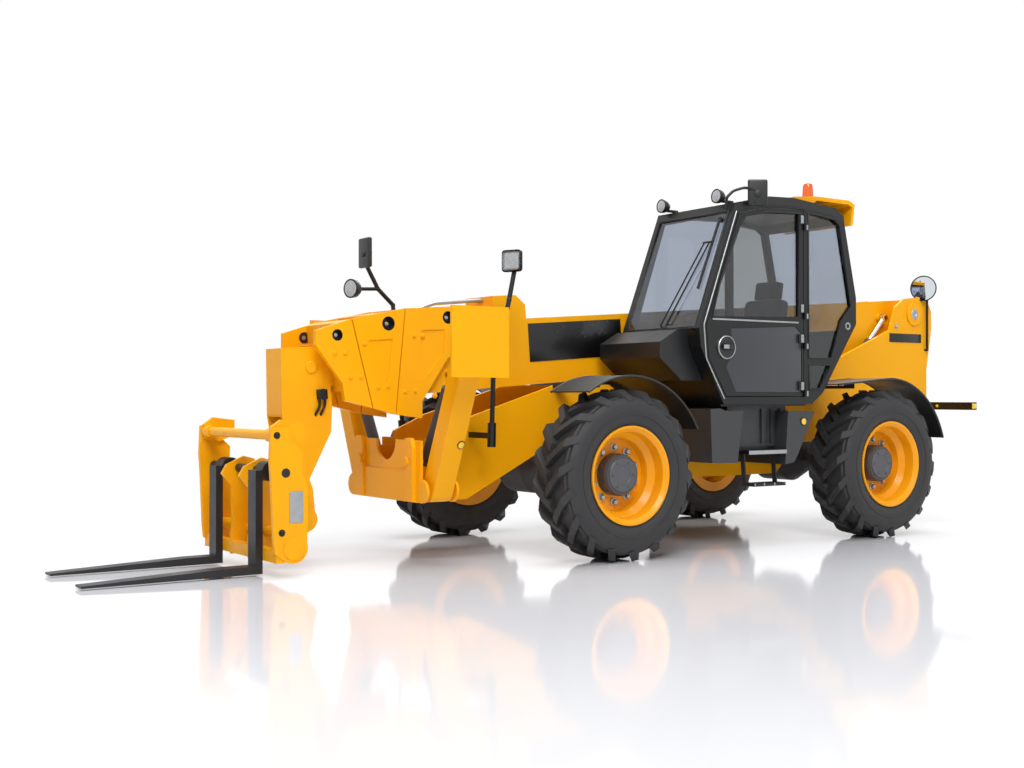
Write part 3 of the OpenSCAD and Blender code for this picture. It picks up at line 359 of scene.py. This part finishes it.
guard_edge, axle_height, arc_steps = 0.695, 0.603, 40
for end, axle, first, last, run_out in (("front", 1.375, 57, 153, 0), ("rear", -1.375, 85.3, 163, 0.578)):
    for side, sign in left_and_right:
        for lip, y in (("outer", 1.232), ("inner", 0.8)):
            angles = [math.radians(first + (last - first) * i / arc_steps) for i in range(arc_steps + 1)]
            arc = [(axle + guard_edge * math.cos(angle), sign * y, axle_height + guard_edge * math.sin(angle))
                   for angle in angles]
            if run_out:
                lean = math.radians(first)
                arc.insert(0, (arc[0][0] + run_out * math.sin(lean), sign * y, arc[0][2] - run_out * math.cos(lean)))
            tube(f"mudguard_edging_{end}_{side}_{lip}", arc, 0.009, moulding, "chassis")

# Lamps

def work_lamp(name, centre, heading, half, depth):
    """A square bowl with rounded corners, narrower behind, with a bezel and a domed lens."""
    place = wheelbase_middle @ Matrix.Translation(centre) @ Matrix.Rotation(math.radians(heading), 4, "Z")
    bm = bmesh.new()
    corners = bmesh.ops.create_cube(bm, size=2.0)["verts"]
    bmesh.ops.scale(bm, vec=(depth / 2, half, half), verts=corners)
    bmesh.ops.scale(bm, vec=(1, 0.5, 0.5), verts=[corner for corner in corners if corner.co.x < 0])
    bmesh.ops.bevel(bm, geom=list(bm.edges), offset=half * 0.45, offset_type="OFFSET", affect="EDGES", segments=4,
                    profile=0.5, material=-1)
    rounded_block(bm, (depth * 0.28, -half, -half), (depth * 0.5, half, half), half * 0.3, 4)
    housing = piece(name, bm, moulding, "chassis", place)
    bm = bmesh.new()
    lens_half = half * 0.86
    rounded_block(bm, (depth * 0.4, -lens_half, -lens_half), (depth * 0.56, lens_half, lens_half), half * 0.26, 4)
    piece(name + "_lens", bm, lamp_glass, "chassis", place)
    return housing


left_lamp = work_lamp("work_lamp_left", centre=(1.94, 0.62, 2.115), heading=25, half=0.078, depth=0.10)
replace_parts(left_lamp, "work_lamps")
right_lamp_centre, right_lamp_heading = (2.572, -0.62, 1.975), math.radians(18)
right_lamp_axis = (math.cos(right_lamp_heading), math.sin(right_lamp_heading), 0)
bm = bmesh.new()
turned(bm, [(-0.055, 0), (-0.055, 0.024), (-0.04, 0.045), (-0.01, 0.066), (0.03, 0.073), (0.04, 0.073),
            (0.043, 0.068), (0.034, 0.064), (0.034, 0)], right_lamp_centre, right_lamp_axis, 40)
piece("work_lamp_right", bm, moulding, "chassis")
bm = bmesh.new()
turned(bm, [(0.03, 0), (0.03, 0.064), (0.04, 0.062), (0.049, 0.04), (0.052, 0)],
       right_lamp_centre, right_lamp_axis, 40)
piece("work_lamp_right_lens", bm, lamp_glass, "chassis")
cab_top, roof_lamp_axis = 2.698, (1, 0, 0.05)
for side, y in (("right", 0.37), ("left", 0.998)):
    lamp_centre = (0.315, y, cab_top - 0.028)
    bm = bmesh.new()
    turned(bm, [(-0.045, 0), (-0.045, 0.022), (-0.03, 0.036), (0, 0.051), (0.03, 0.055), (0.035, 0.055), (0.037, 0.05),
                (0.03, 0.047), (0.03, 0)], lamp_centre, roof_lamp_axis, 40)
    rounded_block(bm, (0.18, y - 0.016, cab_top - 0.07), (0.312, y + 0.016, cab_top - 0.05), 0.004)
    rounded_block(bm, (0.285, y - 0.012, cab_top - 0.06), (0.305, y + 0.012, cab_top - 0.02), 0.004)
    piece("roof_lamp_" + side, bm, moulding, "chassis")
    bm = bmesh.new()
    turned(bm, [(0.027, 0), (0.027, 0.047), (0.034, 0.046), (0.041, 0.032), (0.044, 0)],
           lamp_centre, roof_lamp_axis, 40)
    piece("roof_lamp_" + side + "_lens", bm, lamp_glass, "chassis")

# Beacon on the visor

bm = bmesh.new()
visor_top = (-0.87, 0.8, cab_top + 0.046)
turned(bm, [(0, 0), (0, 0.06), (0.012, 0.06), (0.02, 0.053), (0.042, 0.05), (0.042, 0)], visor_top, (0, 0, 1), 40)
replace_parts(piece("beacon_base", bm, moulding, "chassis"), "beacon")
bm = bmesh.new()
turned(bm, [(0.04, 0), (0.04, 0.046), (0.05, 0.0465), (0.06, 0.0445), (0.07, 0.0455), (0.08, 0.0435), (0.09, 0.0445),
            (0.1, 0.0425), (0.11, 0.0435), (0.12, 0.0415), (0.14, 0.041), (0.158, 0.034), (0.167, 0.02), (0.169, 0)],
       visor_top, (0, 0, 1), 48)
piece("beacon_lens", bm, amber, "chassis")

# Mirrors

cab_mirror = wheelbase_middle @ Matrix.Translation((0.125, 1.212, 2.69)) @ Matrix.Rotation(math.radians(-35), 4, "Z")
bm = bmesh.new()
rounded_block(bm, (-0.075, -0.015, -0.1), (0.075, 0.017, 0.1), 0.0155, 5)
turned(bm, [(0.012, 0), (0.012, 0.03), (0.022, 0.026), (0.028, 0)], (0, 0, -0.01), (0, 1, 0), 24)
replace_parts(piece("cab_mirror_shell", bm, moulding, "chassis", cab_mirror), "mirrors")
bm = bmesh.new()
rounded_block(bm, (-0.064, -0.0175, -0.089), (0.064, -0.012, 0.089), 0.002)
piece("cab_mirror_glass", bm, mirror_glass, "chassis", cab_mirror)
tube("cab_mirror_hoop", [(0.33, 1.09, 2.56), (0.345, 1.105, 2.645), (0.297, 1.13, 2.70), (0.22, 1.175, 2.726),
                         (0.13, 1.212, 2.70)], 0.011, powder_coat, "chassis", bend=0.025)
bm = bmesh.new()
rounded_block(bm, (2.458, -0.705, 2.14), (2.494, -0.535, 2.37), 0.014, 4)
turned(bm, [(0, 0), (0, 0.03), (0.012, 0.026), (0.018, 0)], (2.492, -0.62, 2.25), (1, 0, 0), 24)
piece("post_mirror_shell", bm, moulding, "chassis")
bm = bmesh.new()
rounded_block(bm, (2.4555, -0.694, 2.151), (2.461, -0.546, 2.359), 0.002)
piece("post_mirror_glass", bm, mirror_glass, "chassis")
round_mirror, mirror_heading = (-2.885, 0.385, 2.165), math.radians(28)
facing = (math.cos(mirror_heading), math.sin(mirror_heading), 0.0)
bm = bmesh.new()
turned(bm, [(-0.022, 0), (-0.02, 0.05), (-0.004, 0.108), (0.004, 0.12), (0.012, 0.12), (0.014, 0.113), (0.006, 0.11),
            (0.004, 0)], round_mirror, facing, 48)
piece("rear_mirror_shell", bm, moulding, "chassis")
bm = bmesh.new()
turned(bm, [(0.002, 0), (0.002, 0.1095), (0.008, 0.109), (0.014, 0.07), (0.017, 0.03), (0.018, 0)],
       round_mirror, facing, 48)
piece("rear_mirror_glass", bm, mirror_glass, "chassis")

# Driver's seat

def pad(name, half, crown, place):
    """A foam pad of those half sizes: sides drawn in between the corners, its upper face crowned, edges soft."""
    bm = bmesh.new()
    bmesh.ops.create_cube(bm, size=2.0)
    bmesh.ops.subdivide_edges(bm, edges=list(bm.edges), cuts=7, use_grid_fill=True)
    for vert in bm.verts:
        u, v, w = vert.co
        draw_in = Vector((u * (1 - 0.035 * (1 - v * v)), v * (1 - 0.035 * (1 - u * u)), w))
        lift = crown * (1 - u * u) * (1 - v * v) if w > 0 else 0.0
        channel = 0.012 * math.exp(-((abs(u) - 0.62) / 0.05) ** 2) if w > 0.9 else 0.0
        vert.co = Vector((draw_in.x * half[0], draw_in.y * half[1], w * half[2] + lift - channel))
    for turn in range(3):
        bmesh.ops.smooth_vert(bm, verts=bm.verts, factor=0.5, use_axis_x=True, use_axis_y=True, use_axis_z=True)
    made = piece(name, bm, seat_cloth, "chassis", wheelbase_middle @ place, crease=180)
    soften = made.modifiers.new("soften", "SUBSURF")
    soften.levels = soften.render_levels = 1
    return made


seat_low, seat_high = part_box("seat")
seat_y = (seat_low.y + seat_high.y) / 2
lean = math.radians(9.8)
back_turn = Matrix(((0, -math.sin(lean), math.cos(lean), 0), (1, 0, 0, 0), (0, math.cos(lean), math.sin(lean), 0),
                    (0, 0, 0, 1)))
cushion_x, cushion_y = 0.235, 0.225
cushion_place = (Matrix.Translation((-0.225, seat_y, 1.452)) @ Matrix.Rotation(math.pi / 2, 4, "Z")
                 @ Matrix.Diagonal((cushion_y / cushion_x, cushion_x / cushion_y, 1, 1)))
seat_pad = pad("seat_cushion", (cushion_x, cushion_y, 0.058), 0.018, cushion_place)
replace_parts(seat_pad, "seat")
pad("seat_back_cushion", (0.215, 0.215, 0.05), 0.016, Matrix.Translation((-0.445, seat_y, 1.725)) @ back_turn)
pad("seat_head_cushion", (0.13, 0.075, 0.04), 0.01, Matrix.Translation((-0.503, seat_y, 2.005)) @ back_turn)
bm = bmesh.new()
bellows_half, fold_pitch = 0.17, 0.044
for i in range(6):
    draw = 0.012 * (i % 2)
    rounded_block(bm, (-0.42 + draw, seat_y - bellows_half + draw, 1.122 + fold_pitch * i),
                  (-0.08 - draw, seat_y + bellows_half - draw, 1.168 + fold_pitch * i), 0.012)
piece("seat_bellows", bm, seal_rubber, "chassis")
bm = bmesh.new()
rounded_block(bm, (-0.47, seat_y - 0.21, 1.383), (0.0, seat_y + 0.21, 1.402), 0.006)
for side in (-1, 1):
    armrest_y = seat_y + side * 0.24
    rounded_block(bm, (-0.44, armrest_y - 0.025, 1.60), (-0.16, armrest_y + 0.025, 1.64), 0.015, 3)
piece("seat_pan_and_armrests", bm, moulding, "chassis")

# Cab

glass_out = Vector((0.934, 0, 0.3576))
arm_off, blade_off = glass_out * 0.03, glass_out * 0.014
for arm, start, end in (("lower", Vector((0.649, 0.734, 1.675)), Vector((0.406, 0.964, 2.309))),
                        ("upper", Vector((0.642, 0.8, 1.693)), Vector((0.408, 1.017, 2.304)))):
    tube("wiper_arm_" + arm, [start + glass_out * 0.004, start + arm_off, end + arm_off], 0.006, powder_coat, "chassis",
         bend=0.015)
tube("wiper_link", [Vector((0.408, 0.95, 2.305)) + arm_off, Vector((0.408, 1.04, 2.305)) + arm_off], 0.008, powder_coat,
     "chassis")
tube("wiper_blade", [Vector((0.542, 1.018, 1.956)) + blade_off, Vector((0.333, 1.041, 2.502)) + blade_off], 0.011,
     seal_rubber, "chassis")
windscreen = ((0.651, 0.325, 1.665), (0.651, 1.10, 1.665), (0.318, 1.10, 2.545), (0.318, 0.325, 2.545))
tube("windscreen_seal", [Vector(point) + glass_out * 0.002 for point in windscreen], 0.011, seal_rubber, "chassis",
     closed=True)
side_glass_y, side_seal_radius = 1.149, 0.009
for name, body, outline in (
        ("door_window_seal", "cab_door", ((0.535, 1.742), (0.46, 1.985), (0.25, 2.44), (0.182, 2.522), (-0.06, 2.568),
                                          (-0.388, 2.58), (-0.388, 1.77))),
        ("quarter_window_seal", "chassis", ((-0.492, 1.454), (-0.492, 2.594), (-0.79, 2.567), (-0.85, 2.528),
                                            (-0.992, 1.88), (-0.885, 1.762), (-0.764, 1.454))),
        ("lower_window_seal", "chassis", ((-0.5, 1.208), (-0.5, 1.402), (-0.743, 1.402), (-0.64, 1.216)))):
    tube(name, [(x, side_glass_y, z) for x, z in outline], side_seal_radius, seal_rubber, body, closed=True)

bm = bmesh.new()
rounded_block(bm, (-0.38, 1.1485, 1.722), (0.53, 1.1535, 1.735), 0.002)
hinge_x, hinge_heights = -0.446, (1.2, 1.57, 1.805, 2.5)
door_face = 1.15
handle_centre = (0.395, door_face, 1.52)
for z in hinge_heights:
    rounded_block(bm, (hinge_x + 0.014, 1.158, z + 0.004), (hinge_x + 0.048, 1.1635, z + 0.066), 0.002)
    for up in (0.018, 0.052):
        bolt(bm, (hinge_x + 0.031, 1.163, z + up), (0, 1, 0), 0.013, 0.006)
piece("door_trim_and_hinge_straps", bm, zinc, "cab_door")
bm = bmesh.new()
for z in hinge_heights:
    rounded_block(bm, (hinge_x - 0.032, 1.158, z - 0.044), (hinge_x - 0.014, 1.1635, z - 0.004), 0.002)
turned(bm, [(-0.004, 0.018), (0.004, 0.018), (0.006, 0.024), (0.004, 0.03), (-0.004, 0.03)],
       (-0.946, door_face, 1.719), (0, 1, 0), 32)
piece("pillar_hinge_plates_and_catch", bm, zinc, "chassis")
bm = bmesh.new()
skin_outline = ((-0.412, 1.187), (0.29, 1.187), (0.392, 1.375), (0.337, 1.472), (0.337, 1.664), (-0.343, 1.697),
                (-0.412, 1.644))
skin = [bm.verts.new((x, 1.1435, z)) for x, z in skin_outline]
raised = bmesh.ops.extrude_face_region(bm, geom=[bm.faces.new(skin)])["geom"]
bmesh.ops.translate(bm, vec=(0, 0.005, 0), verts=[part for part in raised if isinstance(part, bmesh.types.BMVert)])
outer_rim = [edge for edge in bm.edges if all(vert.co.y > 1.146 for vert in edge.verts)]
bmesh.ops.bevel(bm, geom=outer_rim, offset=0.003, offset_type="OFFSET", affect="EDGES", segments=2, profile=0.5,
                material=-1)
piece("door_skin", bm, grey_enamel, "cab_door")
bm = bmesh.new()
turned(bm, [(0.008, 0.078), (0.015, 0.08), (0.017, 0.084), (0.013, 0.088), (-0.002, 0.088), (-0.002, 0.078)],
       handle_centre, (0, 1, 0), 48, ring=True)
rounded_block(bm, (0.375, 1.16, 1.51), (0.43, 1.168, 1.54), 0.003)
piece("door_handle_rim", bm, zinc, "cab_door")
bm = bmesh.new()
turned(bm, [(-0.004, 0), (0.003, 0.045), (0.007, 0.06), (0.013, 0.068), (0.014, 0.076), (0.008, 0.082),
            (-0.004, 0.083)], handle_centre, (0, 1, 0), 48)
rounded_block(bm, (0.335, 1.152, 1.505), (0.425, 1.166, 1.545), 0.006, 3)
piece("door_handle", bm, moulding, "cab_door")

bm = bmesh.new()
rounded_block(bm, (-0.257, 1.132, 0.714), (0.149, 1.144, 0.744), 0.003)
for x in (-0.257, -0.14, -0.03, 0.07):
    rounded_block(bm, (x, 1.126, 0.474), (x + 0.012, 1.134, 0.494), 0.002)
piece("step_nosings", bm, zinc, "chassis")
# A pale zinc line along the A-pillar and the door's front edge: a painted highlight, for the gloss on the black
# pillar's edge.
pillar_highlight_line = ((0.412, 1.138), (0.594, 1.436), (0.617, 1.684), (0.284, 2.546))
tube("door_frame_trim", [(x, door_face, z) for x, z in pillar_highlight_line], 0.006, zinc, "chassis", bend=0.02)

# Boom

bm = bmesh.new()
for sign in signs:
    rounded_block(bm, (3.42, sign * 0.2215 - 0.0025, -0.19), (4.32, sign * 0.2215 + 0.0025, 0.10), 0.002)
piece("boom_side_panels", bm, panel_film, "boom_outer", boom_line)
# Each collar's bolts, and the place and radius of its hole.
collars = {
    "boom_outer": ([(5.349, 0.056), (5.279, 0.053), (5.448, -0.332), (5.367, -0.333), (5.208, -0.38)],
                   (5.0575, 0.172, 0.046)),
    "boom_mid_1": ([(5.748, 0.019), (5.662, -0.287), (5.585, -0.286)], (5.5475, 0.149, 0.05)),
    "boom_mid_2": ([(5.978, -0.034), (5.899, -0.036), (5.87, -0.206), (5.789, -0.206)], (5.9475, 0.088, 0.04)),
}
cheek_face = 0.28
for section, (bolts, (hole_u, hole_w, hole_r)) in collars.items():
    bm = bmesh.new()
    for sign in signs:
        for u, w in bolts:
            bolt(bm, (u, sign * cheek_face, w), (0, sign, 0), 0.022, 0.012)
    piece("wear_pad_bolts_" + section, bm, enamel, section, boom_line)
    # A black cup sunk in each hole of the collars' cheeks: painted shade for the dark inside of the hole.
    bm = bmesh.new()
    for sign in signs:
        turned(bm, [(-0.045, 0), (-0.045, hole_r - 0.003), (-0.001, hole_r - 0.003), (-0.001, hole_r - 0.0005),
                    (-0.0455, hole_r - 0.0005), (-0.0455, 0)], (hole_u, sign * cheek_face, hole_w), (0, sign, 0), 32)
    piece("wear_pad_hole_shade_cups_" + section, bm, moulding, section, boom_line)
    bm = bmesh.new()
    for sign in signs:
        turned(bm, [(-0.046, 0), (-0.046, 0.015), (-0.016, 0.015), (-0.012, 0.011), (-0.012, 0)],
               (hole_u + 0.006, sign * cheek_face, hole_w), (0, sign, 0), 20)
    piece("wear_pad_pins_" + section, bm, zinc, section, boom_line)
bm = bmesh.new()
rounded_block(bm, (5.99, 0.124, -0.345), (6.06, 0.165, -0.275), 0.006)
for w in (-0.29, -0.33):
    bolt(bm, (6.025, 0.165, w), (0, 1, 0), 0.022, 0.014)
piece("neck_valve_block", bm, powder_coat, "boom_inner", boom_line)
bm = bmesh.new()
turned(bm, [(-0.001, 0), (0.012, 0), (0.012, 0.038), (0.008, 0.043), (-0.001, 0.043)],
       (6.085, 0.125, -0.12), (0, 1, 0), 32)
piece("neck_plug", bm, enamel, "boom_inner", boom_line)
for i, u in enumerate((6.005, 6.045)):
    tube(f"neck_pipe_{i}", [(u, 0.145, -0.34), (u + 0.004, 0.145, -0.39), (u + 0.03, 0.145, -0.43),
                            (u + 0.03, 0.12, -0.45)], 0.009, powder_coat, "boom_inner", boom_line, bend=0.02)
for i, y in enumerate((0.03, 0.075)):
    tube(f"boom_pipe_{i}", [(4.56, y, 0.25), (4.62, y, 0.295), (5.05, y, 0.285), (5.25, y, 0.225), (5.36, y, 0.215)],
         0.015, zinc, "boom_outer", boom_line, bend=0.05)

# Carriage

bm = bmesh.new()
for sign in signs:
    rounded_block(bm, (0.242, sign * 0.6165 - 0.003, 0.033), (0.337, sign * 0.6165 + 0.003, 0.234), 0.002)
    for x, z in ((0.252, 0.045), (0.327, 0.045), (0.252, 0.222), (0.327, 0.222)):
        bolt(bm, (x, sign * 0.618, z), (0, sign, 0), 0.010, 0.005)
piece("carriage_plates", bm, zinc, "carriage", carriage_pin)
# Bolt heads in black on the carriage's sides: painted shade, standing for the dark holes there.
bm = bmesh.new()
for sign in signs:
    for x, z in ((0.423, 0.59), (0.388, -0.027)):
        bolt(bm, (x, sign * 0.615, z), (0, sign, 0), 0.026, 0.012)
piece("carriage_hole_shade_bolts", bm, powder_coat, "carriage", carriage_pin)

# Reflectors and tail lamps

def reflector(name, centre, axis, body):
    """A round pressed lens in a shallow black cup."""
    bm = bmesh.new()
    turned(bm, [(-0.003, 0), (-0.003, 0.03), (0.006, 0.03), (0.008, 0.027), (0.006, 0.025), (0.004, 0)],
           centre, axis, 32)
    piece(name + "_cup", bm, moulding, body)
    bm = bmesh.new()
    turned(bm, [(0.003, 0), (0.003, 0.025), (0.008, 0.0245), (0.010, 0.015), (0.011, 0)], centre, axis, 32)
    piece(name, bm, yellow_acrylic, body)


reflector("box_reflector", (-0.464, 1.12, 0.958), (0, 1, 0), "chassis")
reflector("leg_reflector_left", (2.455, 0.718, 0.825), (0, 0.919, -0.395), "stab_leg_left")
reflector("leg_reflector_right", (2.455, -0.718, 0.825), (0, -0.919, -0.395), "stab_leg_right")
bar_low, bar_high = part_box("light_bar")
tail_lamp_y, end_marker_y = 0.69, 0.853
for side, sign in left_and_right:
    bm = bmesh.new()
    rounded_block(bm, (bar_low.x - 0.008, sign * tail_lamp_y - 0.11, bar_low.z + 0.006),
                  (bar_low.x + 0.01, sign * tail_lamp_y + 0.11, bar_high.z - 0.006), 0.005, 3)
    piece("tail_lamp_" + side, bm, red_acrylic, "chassis", Matrix())
    bm = bmesh.new()
    rounded_block(bm, (bar_low.x + 0.012, sign * end_marker_y - 0.005, bar_low.z + 0.012),
                  (bar_high.x - 0.012, sign * end_marker_y + 0.005, bar_high.z - 0.012), 0.004, 3)
    for offset in (0.12, 0.3, 0.48):
        turned(bm, [(-0.004, 0), (-0.004, 0.014), (0.004, 0.013), (0.006, 0)],
               (bar_high.x, sign * offset, (bar_low.z + bar_high.z) / 2), (1, 0, 0), 20)
    piece("marker_reflectors_" + side, bm, yellow_acrylic, "chassis", Matrix())

# Tower at the boom's pivot

tower_face = 0.36
bm = bmesh.new()
for sign in signs:
    rounded_block(bm, (-2.876, sign * 0.3615 - 0.0025, 1.653), (-2.426, sign * 0.3615 + 0.0025, 1.735), 0.002)
piece("tower_panels", bm, panel_film, "chassis")
bm = bmesh.new()
for sign in signs:
    turned(bm, [(-0.01, 0), (-0.01, 0.05), (0.016, 0.05), (0.021, 0.044), (0.021, 0.018), (0.016, 0.014), (0.016, 0)],
           (-2.77, sign * tower_face, 1.92), (0, sign, 0), 36)
    for x, z in ((-2.69, 1.92), (-2.52, 1.80)):
        bolt(bm, (x, sign * tower_face, z), (0, sign, 0), 0.024, 0.014)
piece("pivot_pin_caps", bm, zinc, "chassis")

# Bonnet catches

hood_low, hood_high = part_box("engine_bonnet")
bm = bmesh.new()
for along in (0.25, 0.75):
    x = hood_low.x + (hood_high.x - hood_low.x) * along
    rounded_block(bm, (x - 0.02, hood_low.y - 0.012, hood_low.z + 0.06),
                  (x + 0.02, hood_low.y + 0.006, hood_low.z + 0.15), 0.006, 3)
    rounded_block(bm, (x - 0.012, hood_low.y - 0.02, hood_low.z + 0.075),
                  (x + 0.012, hood_low.y - 0.006, hood_low.z + 0.12), 0.005, 3)
piece("bonnet_catches", bm, moulding, "bonnet", Matrix())


# Studio

machine_middle = Vector((0, 0, 1))


def studio_light(name, place, size, power):
    """A large soft panel, aimed at the machine and not seen through its glass."""
    lamp = bpy.data.lights.new(name, "AREA")
    lamp.shape = "DISK"
    lamp.size = size
    lamp.energy = power
    panel = bpy.data.objects.new(name, lamp)
    panel.location = place
    panel.visible_transmission = False
    panel.rotation_euler = (machine_middle - Vector(place)).to_track_quat("-Z", "Y").to_euler()
    bpy.context.scene.collection.objects.link(panel)


def seen_by_eye(material):
    """1 for what is looked at, straight, in a reflection or through glass, and 0 for light that falls on things."""
    ray = add_node(material, "LightPath").outputs
    looked_at = add_node(material, "Math", {0: ray["Is Camera Ray"], 1: ray["Is Glossy Ray"]}, operation="MAXIMUM")
    return add_node(material, "Math", {0: looked_at.outputs[0], 1: ray["Is Transmission Ray"]}, operation="MAXIMUM")


studio_light("key_panel", (9.0, 15.0, 17.0), 10.0, 3300)
studio_light("top_panel", (-1.0, 0.5, 19.0), 14.0, 3100)
studio_light("rear_fill_panel", (-16.0, -12.0, 11.0), 12.0, 1450)

floor_bm = bmesh.new()
bmesh.ops.create_grid(floor_bm, x_segments=1, y_segments=1, size=60)
floor_mesh = bpy.data.meshes.new("studio_floor")
floor_bm.to_mesh(floor_mesh)
floor_bm.free()
studio_floor = bpy.data.objects.new("studio_floor", floor_mesh)
bpy.context.scene.collection.objects.link(studio_floor)
# Polished white floor near the machine, running out into the plain white of the backdrop.
floor_paint, floor_shader, floor_place = start_material("white_polished_studio_floor", Roughness=0.08,
                                                        Specular_IOR_Level=0.7)
floor_shader.inputs["Base Color"].default_value = linear("#DEDFE4")
away = add_node(floor_paint, "VectorMath", {0: floor_place, 1: (-0.7, 0.3, 0)}, operation="SUBTRACT")
distance = add_node(floor_paint, "VectorMath", {0: away.outputs[0]}, operation="LENGTH")
fade_start, fade_end = 4.2, 8.5
fade = add_node(floor_paint, "MapRange", {"Value": distance.outputs["Value"], 1: fade_start, 2: fade_end},
                interpolation_type="SMOOTHSTEP")
seen_through = seen_by_eye(floor_paint)
white = add_node(floor_paint, "Emission", {"Color": (1, 1, 1, 1), "Strength": 1.0})
share = add_node(floor_paint, "Math", {0: fade.outputs[0], 1: seen_through.outputs[0]}, operation="MULTIPLY")
floor_mix = add_node(floor_paint, "MixShader", {0: share.outputs[0], 1: floor_shader.outputs[0], 2: white.outputs[0]})
floor_paint.node_tree.links.new(floor_mix.outputs[0], floor_paint.node_tree.nodes["Material Output"].inputs["Surface"])
floor_mesh.materials.append(floor_paint)

world = bpy.data.worlds.new("white_studio")
bpy.context.scene.world = world
world.use_nodes = True
sky = world.node_tree
background = sky.nodes["Background"]
background.inputs["Color"].default_value = (1, 1, 1, 1)
strength = add_node(world, "MapRange", {"Value": seen_by_eye(world).outputs[0], 3: 0.4, 4: 1.0})
sky.links.new(strength.outputs[0], background.inputs["Strength"])

camera = bpy.data.objects.new("photo_camera", bpy.data.cameras.new("photo_camera"))
bpy.context.scene.collection.objects.link(camera)
bpy.context.scene.camera = camera
camera.data.lens = 45.486
camera.data.sensor_width = 36.0
camera.data.clip_end = 200.0
# Where the photograph was taken from, and the way it looks.
yaw, pitch = math.radians(-124.596), math.radians(0.515)
heading = Vector((math.cos(yaw) * math.cos(pitch), math.sin(yaw) * math.cos(pitch), math.sin(pitch)))
camera.location = (6.2350, 8.1736, 1.1606)
camera.rotation_euler = heading.to_track_quat("-Z", "Y").to_euler()

bpy.context.scene.view_settings.view_transform = "Standard"
